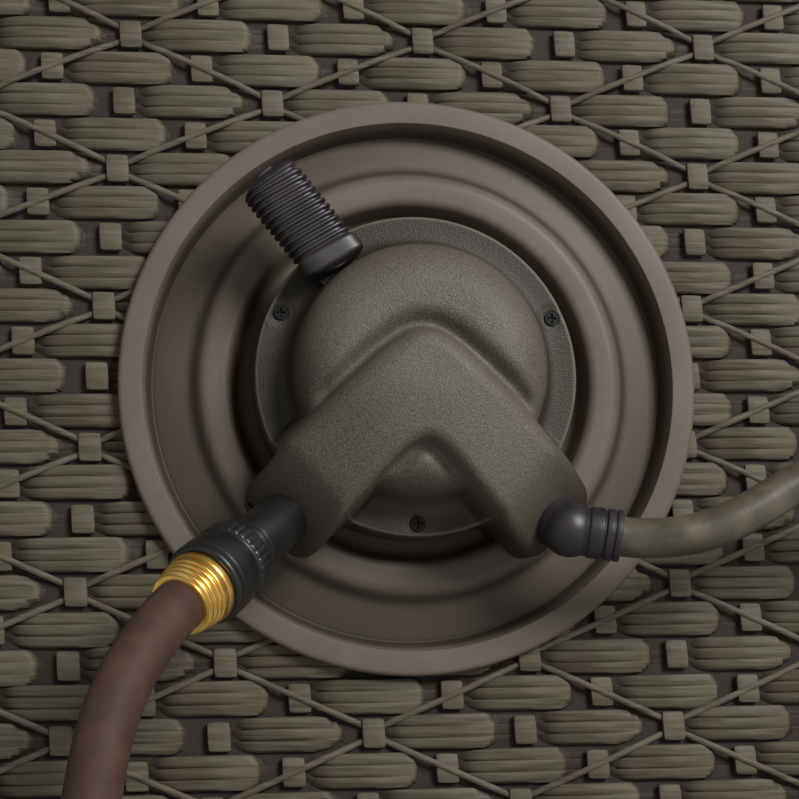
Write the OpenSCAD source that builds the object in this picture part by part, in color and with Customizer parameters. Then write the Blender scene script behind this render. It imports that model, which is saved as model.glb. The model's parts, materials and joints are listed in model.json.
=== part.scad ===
/* [Box] */
// Width of the box over its corner posts, rear to front
box_w = 540; // [520:1:600]
// Depth of the box over its corner posts, along the drum
box_d = 580; // [560:1:660]
// Height of the top rail's upper face above the ground
rail_top = 514; // [510:1:560]
// Height of the base tray's rim above the ground
tray_top = 70; // [66:1:72]
// Height of the rubber feet
foot_h = 8; // [5:1:14]
// Radius of a rubber foot
foot_r = 18; // [12:1:22]
// Side of a square corner post
post_side = 34; // [30:1:40]
// Radius of the corner posts' edges
post_round = 5; // [2:1:7]
// Width of the base tray's beam under the panels
tray_beam = 27; // [26:1:32]
// How far the base tray stands out beyond the posts
tray_over = 4; // [1:1:8]
// Thickness of the base tray's floor
tray_floor = 4; // [3:1:8]
// Height of the top rail
rail_h = 26; // [22:1:32]
// Width of the top rail's beam
rail_beam = 24; // [22:1:32]

/* [Panels] */
// Thickness of the woven side panels
panel_t = 9; // [7:1:11]
// How far the panels sit back from the posts' outer faces
panel_inset = 4; // [2:1:6]
// How deep the panels' edges sit in their grooves
panel_grip = 8; // [5:1:10]
// Height of one woven row
row_pitch = 15.8; // [14:0.2:18]
// Height of one row's middle above the drum's axis
row_line = 162; // [160:0.2:176]
// Depth of the valley between two woven rows
row_valley = 2.4; // [1:0.1:3]
// Width of the valley between two woven rows
row_gap = 2.4; // [1.6:0.2:4]
// Length of the hose window in the front panel
window_len = 400; // [300:5:440]
// Height of the hose window in the front panel
window_h = 110; // [80:1:120]

/* [Lid] */
// Height of the lid's skirt
lid_skirt = 40; // [34:1:60]
// How far the lid stands out beyond the posts
lid_over = 6; // [6:1:9]
// Wall thickness of the lid
lid_wall = 3; // [2.5:0.5:3]
// Width of the lid's smooth border
lid_border = 46; // [36:1:60]
// Depth of the lid's recess for its woven inlay
inlay_depth = 6; // [4:1:7]
// How far the lid can swing open, in degrees
lid_swing = 100; // [80:1:110]
// Radius of the lid's hinge knuckles
knuckle_r = 5; // [4.5:0.5:6]
// Radius of the hinge pins
hinge_pin_r = 2.5; // [2:0.5:3]
// Length of one hinge knuckle
knuckle_len = 22; // [16:1:30]
// Distance from the box's middle to a hinge
hinge_at = 180; // [140:1:200]
// Width of the lid's front finger lip
lip_len = 130; // [90:1:160]

/* [Motor dish] */
// Height of the drum's axis above the ground
axis_z = 282; // [278:1:290]
// Outer radius of the dish's rim
dish_r = 130; // [130:1:136]
// Inner radius of the dish's flat rim band
band_r = 119.5; // [118:0.5:122]
// How far the rim stands in front of the woven face
rim_proud = 6; // [4:1:9]
// Depth of the dish's floor below its rim
dish_depth = 12; // [10:1:14]
// Wall thickness of the dish
dish_wall = 3; // [2.5:0.5:3.5]
// Outer radius of the dish's floor
floor_r = 115.5; // [114:0.5:117]
// Outer radius of the raised ring's top
ring_out_r = 93.3; // [90:0.1:96]
// Inner radius of the raised ring's top
ring_in_r = 81.3; // [79:0.1:84]
// Radial run of the raised ring's sloping sides
ring_slope = 3.5; // [2:0.5:5]
// Radius of the circle of dish screws
dish_screw_circle = 125.5; // [125:0.5:126]

/* [Motor cover] */
// Outer radius of the cover's flange
cover_r = 70.5; // [69:0.5:73]
// Height of the cover's flange above the dish rim
flange_rise = 20; // [18:1:24]
// Wall thickness of the cover
cover_wall = 2.5; // [2:0.5:3]
// Radius of the cover's dome at its foot
dome_r = 56; // [54:1:58]
// Height of the dome's crown above the dish rim
dome_rise = 56; // [52:1:60]
// Radius of the dome's rounded shoulder
dome_shoulder = 24; // [18:1:26]
// Height of the water channels' crest above the dish rim
crest_rise = 64; // [60:1:68]
// Height of the water channels at their outer ends
leg_end_rise = 50; // [46:1:56]
// Width of one water channel leg
leg_w = 40; // [36:1:42]
// Edge radius of the water channel legs
leg_round = 8; // [5:1:10]
// Radius of the circle of cover screws
cover_screw_circle = 65; // [64:0.5:66]
// Angle of the two upper cover screws from the vertical
cover_screw_turn = 66.5; // [64:0.5:70]
// Radius of a cover screw's head
screw_head_r = 3; // [2.4:0.1:3.4]
// Radius of a cover screw's shank
screw_r = 1.6; // [1.2:0.1:1.9]

/* [Ports] */
// Sideways distance from the drum's axis to a port's ball joint
port_x = 62.5; // [60:0.5:66]
// Distance of a port's ball joint below the drum's axis
port_drop = 68; // [66:0.5:71]
// Height of a port's ball joint above the dish rim
port_rise = 37; // [35:1:40]
// Tilt of a port out of the wall's plane, in degrees
port_tilt = 45; // [42:1:48]
// Slope of a port below the horizontal, in degrees
port_slope = 42; // [40:1:46]
// Outer radius of the black pipes at the ports
pipe_r = 11.5; // [10.5:0.5:12]
// Radius of the water way
water_r = 6.5; // [5:0.5:7]
// Length of the inlet pipe in front of its ball
inlet_len = 32; // [28:1:36]
// Outer radius of the inlet's swivel nut
nut_r = 17; // [16:0.5:18.5]
// Length of the inlet's swivel nut
nut_len = 26; // [22:1:32]
// Outer radius of the hose thread
thread_r = 13.2; // [12.8:0.1:13.6]
// Length of the brass fitting outside the nut
brass_len = 16; // [12:1:20]
// Thickness of the washer inside the inlet nut
washer_t = 2.4; // [2:0.2:3]
// Slope of the outlet's barb below the horizontal, in degrees
barb_slope = 8; // [4:1:12]
// Tilt of the outlet's barb out of the wall's plane, in degrees
barb_tilt = 10; // [6:1:14]
// Length of the outlet's arm from its ball to the hose
barb_arm = 22; // [20:1:26]

/* [Lever] */
// Reach of the lever's grip from the axis
lever_reach = 108; // [104:1:110]
// Width of the lever's grip
grip_w = 28; // [24:1:31]
// Thickness of the lever's grip
grip_t = 20; // [16:1:22]
// Spacing of the grip's ribs
rib_pitch = 3.2; // [2.8:0.1:4]
// Turn of the lever at rest, counted from the vertical
lever_rest = -39; // [-41:1:-35]
// Travel of the lever, in degrees
lever_travel = 83; // [60:1:90]
// Thickness of the lever's arm
arm_t = 5; // [4:0.5:6]

/* [Drive] */
// Module of the gear teeth
gear_m = 2; // [2:1:2]
// Teeth of the drum's gear
drum_teeth = 60; // [60:1:60]
// Teeth of the idler's large gear
wheel_teeth = 45; // [42:1:45]
// Teeth of the idler's small gear and of the impeller's pinion
pinion_teeth = 15; // [14:1:15]
// Face width of the gears
gear_face = 8; // [6:1:9]
// Play between meshing gear teeth
tooth_play = 0.35; // [0.3:0.05:0.5]
// Outer radius of the impeller
impeller_r = 25; // [20:1:26]
// Height of the impeller's blades
blade_h = 18; // [12:1:20]
// Radius of the impeller's and idler's steel shafts
shaft_r = 3; // [2.5:0.5:4]
// Radial running clearance of shafts in their bushes
run_gap = 0.06; // [0.03:0.01:0.1]

/* [Drum] */
// How far the drum's hose thread stands out of its core
outlet_len = 16; // [12:1:20]
// Outer radius of the drum's flanges
drum_flange_r = 200; // [170:1:204]
// Outer radius of the drum's core
core_r = 72; // [70:1:90]
// Wall thickness of the drum's core
core_wall = 4; // [3:0.5:6]
// Thickness of the drum's flanges
flange_t = 4; // [3:0.5:6]
// Distance from the woven face to the near flange
drum_back = 84; // [84:1:96]
// Gap between the far flange and the far panel
far_gap = 46; // [40:1:60]
// Outer radius of the water axle
axle_r = 13; // [11:0.5:13.5]
// Radius of the far axle
far_axle_r = 10; // [8:0.5:12]

/* [Hose guide] */
// Radius of the guide rods
rod_r = 6; // [5:0.5:8]
// Distance between the two guide rods
rod_gap = 44; // [40:1:52]
// Height of the lower guide rod
rod_z = 210; // [200:1:225]
// Width of the sliding guide
guide_w = 64; // [56:1:80]
// Travel of the guide to each side
guide_travel = 180; // [120:1:190]
// Radius of the guide's rollers
roller_r = 7; // [6:0.5:9]

/* [Hoses] */
// Outer diameter of the leader hose
leader_d = 21; // [19:0.5:21]
// Whole length of the leader hose
leader_len = 1200; // [1100:10:1300]
// Outer diameter of the drain hose
drain_d = 17; // [15:0.5:17]
// Whole length of the drain hose
drain_len = 1200; // [1050:10:1250]
// Mean diameter of the stored leader loop
leader_loop_d = 252; // [240:1:260]
// Spacing of the leader's turns, wide enough for its coupling
leader_step = 54; // [52:1:58]
// Mean diameter of the stored drain loop
drain_loop_d = 187; // [176:1:200]
// Spacing of the drain's turns
drain_step = 18.5; // [17.5:0.5:24]
// Outer radius of the brass tap coupling
coupling_r = 15.5; // [14.5:0.5:16]
// Length of the brass tap coupling
coupling_len = 38; // [30:1:38]

/* [Hidden] */

$fn = 64;
fit = 0.3; // clearance of one seated piece in another
seat = 0.02; // clearance of a pressed or threaded piece
cut = 1; // overrun of a cut

// Places of the wall, the box and the lid
tray_w = box_w + 2 * tray_over;
tray_d = box_d + 2 * tray_over;
lid_w = box_w + 2 * lid_over;
lid_d = box_d + 2 * lid_over;
rail_low = rail_top - rail_h;
lid_overlap = 12; // how far the lid's skirt hangs below the rail's top
skirt_low = rail_top - lid_overlap;
lid_top = skirt_low + lid_skirt;
hinge_x = -lid_w / 2 - knuckle_r;
hinge_z = skirt_low - knuckle_r - cut;
panel_foot = tray_top - panel_grip;
panel_head = rail_low + panel_grip;
panel_h = panel_head - panel_foot;
side_len = box_w - 2 * post_side + 2 * panel_grip - 2 * fit;
end_len = box_d - 2 * post_side + 2 * panel_grip - 2 * fit;
groove_w = panel_t + 2 * fit;
groove_in = panel_inset + panel_t / 2; // from a post's outer face to the groove's middle
post_x = box_w / 2 - post_side / 2;
post_y = box_d / 2 - post_side / 2;
foot_stem_r = 5; // radius of the stem that holds a foot in the tray
foot_stem = 9; // length of that stem
core_w = tray_beam + tray_over - 8; // width of the hollow under the tray's beams
core_in = (tray_beam - tray_over) / 2;
beam_top = 4; // thickness of the beam above its hollow
wall_mid = axis_z + row_line - panel_foot;
screw_sunk = 3; // depth of the sunk screw heads in the rail
lid_rib_in = 14; // distance of the lid's bearing rib from its edge
inlay_w = lid_w - 2 * lid_border;
inlay_l = lid_d - 2 * lid_border;
lip_reach = 2 * knuckle_r; // the lip stands out as far as the knuckles do behind

// Directions and reach of the ports
ball_z = rim_proud + port_rise;
nut_lip = 4; // how far the nut reaches back over the inlet pipe
nut_chamfer = 1;
nut_front = inlet_len + nut_len - nut_lip;
nut_back = nut_front - nut_len;
nut_wall = 3; // thickness of the nut's back wall
collar_t = 3; // thickness of the inlet pipe's collar inside the nut
pipe_end = nut_back + nut_wall + fit + collar_t;
washer_play = 0.1; // play on either side of the hose washer
brass_low = pipe_end + washer_t + 2 * washer_play;
front_reach = ball_z + max((nut_front - nut_chamfer) * sin(port_tilt) + nut_r * cos(port_tilt),
    nut_front * sin(port_tilt) + (nut_r - nut_chamfer) * cos(port_tilt));
wall_y = (front_reach + panel_inset - box_d - lid_over) / 2;
box_y = wall_y - panel_inset + box_d / 2;
function dir_of(slope, tilt, side) =
    [side * cos(tilt) * cos(slope), -cos(tilt) * sin(slope), sin(tilt)];
function port_dir(side) = dir_of(port_slope, port_tilt, side);
function ball_at(side) = [side * port_x, -port_drop, ball_z];
barb_dir = dir_of(barb_slope, barb_tilt, 1);

// Levels in front of the woven face, and behind it
dish_floor_z = rim_proud - dish_depth;
dish_back = dish_floor_z - dish_wall;
channel_rise = 6; // how far the floor outside the ring rises towards the ring
dish_skirt_r = band_r + 1.5;
flange_z = rim_proud + flange_rise;
dome_z = rim_proud + dome_rise;
crest_z = rim_proud + crest_rise;
leg_end_z = rim_proud + leg_end_rise;
leg_face = 8; // distance of a leg's slanting face behind its ball
leg_far = 91; // distance of a leg's end from the axis
leg_mid = -3; // where the legs' middle lines meet, below the axis
arm_low = flange_z + 1.5;
arm_w = 18; // width of the lever's arm
hub_r = 19; // radius of the lever's hub
stem_r = 8; // radius of the valve's stem
valve_r = 16; // radius of the valve's bore
manifold_top = flange_z - 1;
pipe_wall = 4; // wall of the manifold's pipes
spigot_r = water_r + 2;
spigot_len = 20; // how deep a port's spigot sits in the manifold
spigot_seal = -leg_face - 14; // where a spigot's seal sits, along the port
port_low = -58; // where a port's pipe starts in the manifold, along the port
way_at = [32, 41]; // where a port's pipe meets the way to the valve
way_z = dish_floor_z + 11;
way_r = water_r - 1.5;
valve_ways = [-128 + lever_rest, -52 + lever_rest]; // directions of the rotor's water ways
groove_h = 2.2; // width of a seal's groove
seal_t = 1.8; // thickness of a seal ring
valve_grooves = [manifold_top - 7, manifold_top - 3];
boss_r = 4; // radius of a cover screw's boss
screw_dip = 1.2; // depth of the dimple round a cover screw
screw_depth = 14; // depth of a cover screw's tip under the flange's face
grip_from = dome_r + 1; // the grip starts this far from the axis
grip_block = 9; // length of the smooth block at the grip's inner end
grip_screws_at = [grip_from + 8, lever_reach - 12]; // distances of its screws from the axis
slot_play = 1; // clearance of the arm in its slot

// Gear train: the idler hangs below the axis and the impeller sits to its right
drum_pitch_r = gear_m * drum_teeth / 2;
wheel_pitch_r = gear_m * wheel_teeth / 2;
pinion_pitch_r = gear_m * pinion_teeth / 2;
idler_off = drum_pitch_r + pinion_pitch_r;
impeller_gap = wheel_pitch_r + pinion_pitch_r;
impeller_off = 70; // distance of the impeller from the drum's axis
impeller_turn = acos((pow(idler_off, 2) + pow(impeller_off, 2) - pow(impeller_gap, 2))
    / (2 * idler_off * impeller_off));
idler_at = [0, -idler_off];
impeller_at = impeller_off * [sin(impeller_turn), -cos(impeller_turn)];
to_impeller = atan2(impeller_at[1] - idler_at[1], impeller_at[0] - idler_at[0]);
chamber_r = impeller_r + 2;
chamber_wall = 3;
blade_play = 1.5; // play above and below the blades
chamber_low = dish_back - chamber_wall - blade_h - 2 * blade_play;
housing_lid_t = 5;
lug_r = 5; // radius of a screw lug on the housing
lug_at = chamber_r + chamber_wall + 3;
wheel_top = chamber_low - housing_lid_t - 5;
wheel_low = wheel_top - gear_face;
drum_gear_top = wheel_low - 4;
drum_gear_low = drum_gear_top - gear_face;
feed_at = 48 * [sin(impeller_turn + 3), -cos(impeller_turn + 3)];
feed_r = 7;
idler_boss_r = 8;
axle_boss = 30; // length of the dish's socket for the water axle
near_z = -drum_back;
gear_rim = 46; // inner radius of the drum gear's skirt
gear_foot = 4; // thickness of the drum gear's foot
far_z = -(box_d - 2 * panel_inset - panel_t - far_gap);
bearing_face = -(box_d - 2 * panel_inset - panel_t);
hub_screw_at = core_r - core_wall - 4.5; // radius of the circle of drum screws
hub_turn = 15; // angle of the first drum screw
hub_foot_r = hub_screw_at + 6; // radius of what the drum screws hold on a flange
bearing_screws = 38; // radius of the circle of the far bearing's screws
elbow_z = near_z - 48; // level of the water outlet on the drum
outlet_collar = 2; // how far the outlet's collar stands out of the core
outlet_collar_r = thread_r + 2; // radius of that collar, which fills the core's hole
axle_low = elbow_z + 9; // where the water axle ends inside the outlet's cup
axle_grooves = [axle_low + 5, axle_low + 12];
cup_top = axle_grooves[1] + 6;

// Hose guide places
bracket_w = 28; // width of the brackets that hold the guide's rods
rod_x = box_w / 2 - post_side - bracket_w / 2 - cut;
rod_len = box_d - 2 * panel_inset - 2 * panel_t;
guide_side = 4; // wall of the guide on either side of its window
roller_gap = guide_w - 2 * (guide_side + 1 + roller_r); // distance between the rollers' axes
pivot_r = 2; // radius of a roller's pivots

// The leader hose from its fitting to the ground, chosen by hand
leader_down = [[-111.5, -354, 166.5], [-120.5, -365.5, 149.5], [-126, -373.5, 129],
    [-128.5, -377.5, 105.5], [-132, -378.5, 81.5], [-140.5, -384, 57.5], [-156.5, -393.5, 35.5],
    [-182, -408, 17], [-212, -425.5, 10.5], [-240, -442, 10.5]];
// The drain hose from its fitting to the ground, chosen by hand
drain_down = [[94, -293.5, 210], [107.5, -296.5, 210.5], [121, -298, 213.5], [133.5, -299.5, 219],
    [146, -299.5, 226], [164.5, -300, 238], [197.5, -300.5, 244.5], [232, -301, 234.5],
    [258.5, -303, 209], [269, -305, 175], [271, -305, 140], [272, -306, 104], [272, -306.5, 79],
    [272, -312.5, 52.5], [272, -328, 30], [272, -351, 15], [272, -376.5, 9.8], [272, -398, 9.8]];
lead_in = 4; // straight length of a hose in front of its fitting
tie_ring = 6; // the ring of the drain coil that the strap sits at
tie_play = 0.8; // play of the strap round the hoses
tie_t = 0.8; // thickness of the strap
tie_w = 10; // width of the strap

function unit(v) = v / norm(v);
function from_dish(p) = [p[0], wall_y - p[2], axis_z + p[1]];
function turned(v) = [v[0], -v[2], v[1]];
function path_len(p) = len(p) < 2 ? 0 :
    [for (i = 1, s = norm(p[1] - p[0]); i < len(p); i = i + 1,
        s = i < len(p) ? s + norm(p[i] - p[i - 1]) : s) s][len(p) - 2];

leader_dir = turned(port_dir(-1));
leader_exit = from_dish(ball_at(-1) + (nut_front + brass_len) * port_dir(-1));
leader_path = concat([leader_exit, leader_exit + lead_in * leader_dir], leader_down);
drain_dir = turned(barb_dir);
drain_exit = from_dish(ball_at(1) + barb_arm * barb_dir);
drain_path = concat([drain_exit, drain_exit + lead_in * drain_dir], drain_down);

// One flat spiral on the ground: it starts straight along dir at start, then turns by side
// (1 left, -1 right) and draws in by step for each turn, with steps rings to a turn
steps = 24;
function coil_path(start, dir, d, side, mean_r, step, length) =
    let (turns = coil_turns(d, mean_r, length), r_out = mean_r + step * turns / 2,
        ring = start + d * dir, mid = coil_mid(start, dir, d, side, r_out),
        first = atan2(ring[1] - mid[1], ring[0] - mid[0]), n = ceil(turns * steps))
    concat([start], [for (i = [0 : n]) let (s = i / n, a = first + side * 360 * turns * s)
        [mid[0] + (r_out - step * turns * s) * cos(a), mid[1] + (r_out - step * turns * s) * sin(a),
            start[2]]]);
function coil_turns(d, mean_r, length) = (length - d) / (2 * PI * mean_r);
function coil_mid(start, dir, d, side, r_out) = start + d * dir + r_out * side * [-dir[1], dir[0], 0];
function last(p) = p[len(p) - 1];
function end_dir(p) = unit(last(p) - p[len(p) - 2]);
// The last third of a turn rises, so that a wider coupling lies on the ground
function raised(p, lift, count) = [for (i = [0 : len(p) - 1])
    let (t = max(0, (i - (len(p) - 1 - count)) / (count - 2)), s = min(1, t))
        p[i] + [0, 0, lift * s * s * (3 - 2 * s)]];
leader_turns = raised(coil_path(last(leader_path), end_dir(leader_path), leader_d, 1,
    leader_loop_d / 2, leader_step, leader_len - path_len(leader_path)), coupling_r - leader_d / 2, 8);
drain_left = drain_len - path_len(drain_path);
drain_turns = coil_path(last(drain_path), end_dir(drain_path), drain_d, -1,
    drain_loop_d / 2, drain_step, drain_left);
drain_mid = coil_mid(last(drain_path), end_dir(drain_path), drain_d, -1,
    drain_loop_d / 2 + drain_step * coil_turns(drain_d, drain_loop_d / 2, drain_left) / 2);

// Least distance between parts of one hose that lie more than half a turn apart, less its width
function self_gap(p, d) = min([for (i = [0 : len(p) - 1], j = [i + steps / 2 : 1 : len(p) - 1])
    norm(p[i] - p[j])]) - d;

module in_dish() {
    translate([0, wall_y, axis_z]) rotate([90, 0, 0]) children();
}

// A piece along its own z axis, set at place and pointing along dir
module aim(place, dir) {
    translate(place) rotate([0, acos(dir[2]), atan2(dir[1], dir[0])]) children();
}

module on_port(side) {
    aim(ball_at(side), port_dir(side)) children();
}

module block(size_x, size_y, low, high) {
    translate([-size_x / 2, -size_y / 2, low]) cube([size_x, size_y, high - low]);
}

// An upright plate with round corners
module round_block(size_x, size_y, r, low, high) {
    translate([0, 0, low]) linear_extrude(high - low) round_outline(size_x, size_y, r);
}

module round_outline(size_x, size_y, r) {
    square([size_x - 2 * r, size_y], center = true);
    square([size_x, size_y - 2 * r], center = true);
    for (x = [-1, 1], y = [-1, 1])
        translate([x * (size_x / 2 - r), y * (size_y / 2 - r)]) circle(r);
}

module rod(r, low, high) {
    translate([0, 0, low]) cylinder(r = r, h = high - low);
}

module tube(r_out, r_in, low, high) {
    difference() {
        rod(r_out, low, high);
        rod(r_in, low - cut, high + cut);
    }
}

module ring_of(count, r, first = 0) {
    for (i = [0 : count - 1]) rotate([0, 0, first + i * 360 / count]) translate([r, 0, 0]) children();
}

module o_ring(r, thick, level) {
    translate([0, 0, level]) rotate_extrude() translate([r, 0]) circle(thick / 2, $fn = 24);
}

// A round-head screw whose head sits at z = 0 and whose shank points down
module screw(head_h, length) {
    rod(screw_head_r, 0, head_h);
    rod(screw_r, -length, 0.01);
}

// A cross-shaped slot in a screw's head
module cross_slot(size, low, high) {
    for (a = [0, 90]) rotate([0, 0, a]) block(size, size / 4, low, high);
}

// A round hose along a list of points
function across(v) = unit(cross(v, abs(v[2]) < 0.8 ? [0, 0, 1] : [0, 1, 0]));
module hose(points, d, sides) {
    n = len(points);
    along = [for (i = [0 : n - 1]) unit(i == 0 ? points[1] - points[0]
        : i == n - 1 ? points[i] - points[i - 1]
        : unit(points[i + 1] - points[i]) + unit(points[i] - points[i - 1]))];
    first = across(along[0]);
    over = [for (i = 0, u = first; i < n; i = i + 1,
        u = i < n ? unit(u - (u * along[i]) * along[i]) : u) u];
    rings = [for (i = [0 : n - 1], k = [0 : sides - 1]) let (a = 360 * k / sides,
        v = cross(along[i], over[i])) points[i] + d / 2 * (cos(a) * over[i] + sin(a) * v)];
    walls = [for (i = [0 : n - 2], k = [0 : sides - 1]) let (m = (k + 1) % sides)
        [i * sides + k, (i + 1) * sides + k, (i + 1) * sides + m, i * sides + m]];
    polyhedron(rings, concat([[for (k = [0 : sides - 1]) k]], walls,
        [[for (k = [sides - 1 : -1 : 0]) (n - 1) * sides + k]]), convexity = 6);
}

module base_tray() {
    color("#4d4942") translate([0, box_y, 0]) difference() {
        union() {
            difference() {
                round_block(tray_w, tray_d, post_round + tray_over, foot_h, tray_top);
                block(box_w - 2 * tray_beam, box_d - 2 * tray_beam, foot_h + tray_floor, tray_top + cut);
            }
            for (x = [-1, 1], y = [-1, 1]) translate([x * post_x, y * post_y, 0])
                block(post_side + 2 * tray_over, post_side + 2 * tray_over, foot_h + 2, tray_top);
        }
        panel_grooves(tray_top - panel_grip, tray_top + cut);
        for (x = [-1, 1], y = [-1, 1]) translate([x * post_x, y * post_y, 0]) {
            block(post_side + 2 * fit, post_side + 2 * fit, panel_foot, tray_top + cut);
            rod(foot_stem_r + fit, foot_h - cut, foot_h + foot_stem + fit);
        }
        for (y = [-1, 1]) translate([0, y * (box_d / 2 - core_in), 0])
            block(box_w - 2 * post_side - 24, core_w, foot_h - cut, panel_foot - beam_top);
        for (x = [-1, 1]) translate([x * (box_w / 2 - core_in), 0, 0])
            block(core_w, box_d - 2 * post_side - 24, foot_h - cut, panel_foot - beam_top);
        for (x = [-1, 1], y = [-1, 0, 1]) translate([x * box_w / 4, y * box_d / 4, 0])
            rod(6, foot_h - cut, foot_h + tray_floor + cut);
    }
}

// The four grooves that hold the panels' edges
module panel_grooves(low, high) {
    for (y = [-1, 1]) translate([0, y * (box_d / 2 - groove_in), 0])
        block(side_len + 2 * fit, groove_w, low, high);
    for (x = [-1, 1]) translate([x * (box_w / 2 - groove_in), 0, 0])
        block(groove_w, end_len + 2 * fit, low, high);
}

module rubber_feet() {
    color("#1c1c1c") translate([0, box_y, 0]) for (x = [-1, 1], y = [-1, 1])
        translate([x * post_x, y * post_y, 0]) {
            rod(foot_r, 0, foot_h);
            rod(foot_stem_r, foot_h - 0.01, foot_h + foot_stem);
        }
}

module corner_posts() {
    color("#4f4b44") translate([0, box_y, 0]) for (x = [-1, 1], y = [-1, 1]) difference() {
        translate([x * post_x, y * post_y, 0])
            round_block(post_side, post_side, post_round, panel_foot, rail_low);
        panel_grooves(panel_foot - cut, rail_low + cut);
        translate([x * post_x, y * post_y, 0]) rod(screw_r + seat, rail_low - 10, rail_low + cut);
    }
}

module top_rail() {
    web = rail_low + 4; // underside of a hinge bracket's web
    color("#4f4b44") translate([0, box_y, 0]) difference() {
        union() {
            difference() {
                round_block(box_w, box_d, post_round, rail_low, rail_top);
                block(box_w - 2 * rail_beam, box_d - 2 * rail_beam, rail_low - cut, rail_top + cut);
            }
            for (y = [-1, 1], k = [-1, 1])
                translate([0, y * hinge_at + k * (knuckle_len + fit), 0]) {
                    knuckle();
                    translate([hinge_x, -knuckle_len / 2, web])
                        cube([-box_w / 2 - hinge_x + cut, knuckle_len, 2 * (hinge_z - web)]);
                }
        }
        panel_grooves(rail_low - cut, panel_head);
        pin_line(hinge_pin_r + run_gap);
        for (x = [-1, 1], y = [-1, 1]) translate([x * post_x, y * post_y, 0]) {
            rod(screw_r + fit, rail_low - cut, rail_top + cut);
            rod(screw_head_r + fit, rail_top - screw_sunk, rail_top + cut);
        }
    }
}

module knuckle() {
    translate([hinge_x, knuckle_len / 2, hinge_z]) rotate([90, 0, 0])
        cylinder(r = knuckle_r, h = knuckle_len);
}

module pin_line(r) {
    for (y = [-1, 1]) translate([hinge_x, y * hinge_at + 1.5 * knuckle_len + cut, hinge_z])
        rotate([90, 0, 0]) cylinder(r = r, h = 3 * knuckle_len + 2 * cut);
}

module hinge_pins() {
    color("#8c8c8c") translate([0, box_y, 0]) {
        pin_line(hinge_pin_r);
        for (y = [-1, 1]) translate([hinge_x, y * hinge_at + 1.5 * knuckle_len + fit + 2, hinge_z])
            rotate([90, 0, 0]) cylinder(r = hinge_pin_r + 1.2, h = 1.6);
    }
}

// A slab of woven rows, standing on z = 0 with its woven face at y = 0; mid is one row's middle
module woven_slab(length, height, mid) {
    first = mid - row_pitch / 2 - row_pitch * floor((mid - row_pitch / 2) / row_pitch);
    valleys = [for (z = [first : row_pitch : height - row_gap]) if (z > row_gap) z];
    face = [for (z = valleys, p = [[0, -0.5], [1, -0.25], [1, 0.25], [0, 0.5]])
        [row_valley * p[0], z + row_gap * p[1]]];
    rotate([90, 0, 90]) translate([0, 0, -length / 2]) linear_extrude(length)
        polygon(concat([[panel_t, 0], [0, 0]], face, [[0, height], [panel_t, height]]));
}

module motor_side_panel() {
    color("#58544a") difference() {
        translate([0, wall_y, panel_foot]) woven_slab(side_len, panel_h, wall_mid);
        in_dish() {
            rod(dish_skirt_r + fit, -panel_t - cut, cut);
            ring_of(6, dish_screw_circle, 30) rod(screw_r + seat, -panel_t - cut, cut);
        }
    }
}

module far_side_panel() {
    color("#58544a") translate([0, 2 * box_y - wall_y, 0]) rotate([0, 0, 180]) difference() {
        translate([0, 0, panel_foot]) woven_slab(side_len, panel_h, wall_mid);
        ring_of_holes();
    }
}

// Screw holes of the far bearing, in the far panel
module ring_of_holes() {
    translate([0, 0, axis_z]) rotate([90, 0, 0]) ring_of(4, bearing_screws, 45)
        rod(screw_r + seat, -panel_t - cut, cut);
}

module end_panel() {
    translate([0, 0, panel_foot]) woven_slab(end_len, panel_h, wall_mid);
}

module rear_panel() {
    color("#58544a") translate([-box_w / 2 + panel_inset, box_y, 0]) rotate([0, 0, -90]) end_panel();
}

module front_panel() {
    color("#58544a") translate([box_w / 2 - panel_inset, box_y, 0]) rotate([0, 0, 90]) difference() {
        end_panel();
        translate([0, 0, rod_z + rod_gap / 2]) rotate([90, 0, 0]) linear_extrude(4 * panel_t, center = true)
            round_outline(window_len, window_h, 20);
    }
}

module panel_screws() {
    color("#3a3a3a") {
        translate([0, box_y, rail_top - screw_sunk]) for (x = [-1, 1], y = [-1, 1])
            translate([x * post_x, y * post_y, 0]) screw(screw_sunk - 0.5, 30);
        in_dish() ring_of(4, bearing_screws, 45) translate([0, 0, bearing_face + 5])
            screw(2, 5 + panel_t - 1);
    }
}

module lid() {
    soften = 12; // width of the lid's sloping edge
    color("#544f47") translate([0, box_y, 0]) difference() {
        union() {
            lid_form(0, skirt_low, lid_top, soften);
            translate([lid_w / 2, 0, skirt_low]) lip();
            for (y = [-1, 1]) translate([0, y * hinge_at, 0]) {
                knuckle();
                translate([hinge_x, -knuckle_len / 2, hinge_z])
                    cube([knuckle_r + cut, knuckle_len, lid_overlap + knuckle_r]);
            }
        }
        difference() {
            lid_form(lid_wall, skirt_low - cut, lid_top - lid_wall, soften);
            difference() {
                block(lid_w - 2 * lid_rib_in, lid_d - 2 * lid_rib_in, rail_top, lid_top);
                block(lid_w - 2 * lid_rib_in - 8, lid_d - 2 * lid_rib_in - 8, rail_top - cut, lid_top);
            }
            block(inlay_w + 8, inlay_l + 8, lid_top - inlay_depth - lid_wall, lid_top);
        }
        block(inlay_w + 2 * fit, inlay_l + 2 * fit, lid_top - inlay_depth, lid_top + cut);
        pin_line(hinge_pin_r + run_gap);
        for (y = [-1, 1], k = [-1, 1]) translate([hinge_x, y * hinge_at + k * (knuckle_len - fit), hinge_z])
            block(4 * knuckle_r, knuckle_len, -2 * knuckle_r, lid_overlap);
    }
}

module lid_form(inward, low, high, soften) {
    intersection() {
        round_block(lid_w - 2 * inward, lid_d - 2 * inward, post_round + lid_over - inward, low, high);
        rotate([90, 0, 0]) linear_extrude(2 * lid_d, center = true)
            lid_profile(lid_w / 2 - inward, low, high, soften);
        rotate([90, 0, 90]) linear_extrude(2 * lid_w, center = true)
            lid_profile(lid_d / 2 - inward, low, high, soften);
    }
}

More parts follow.
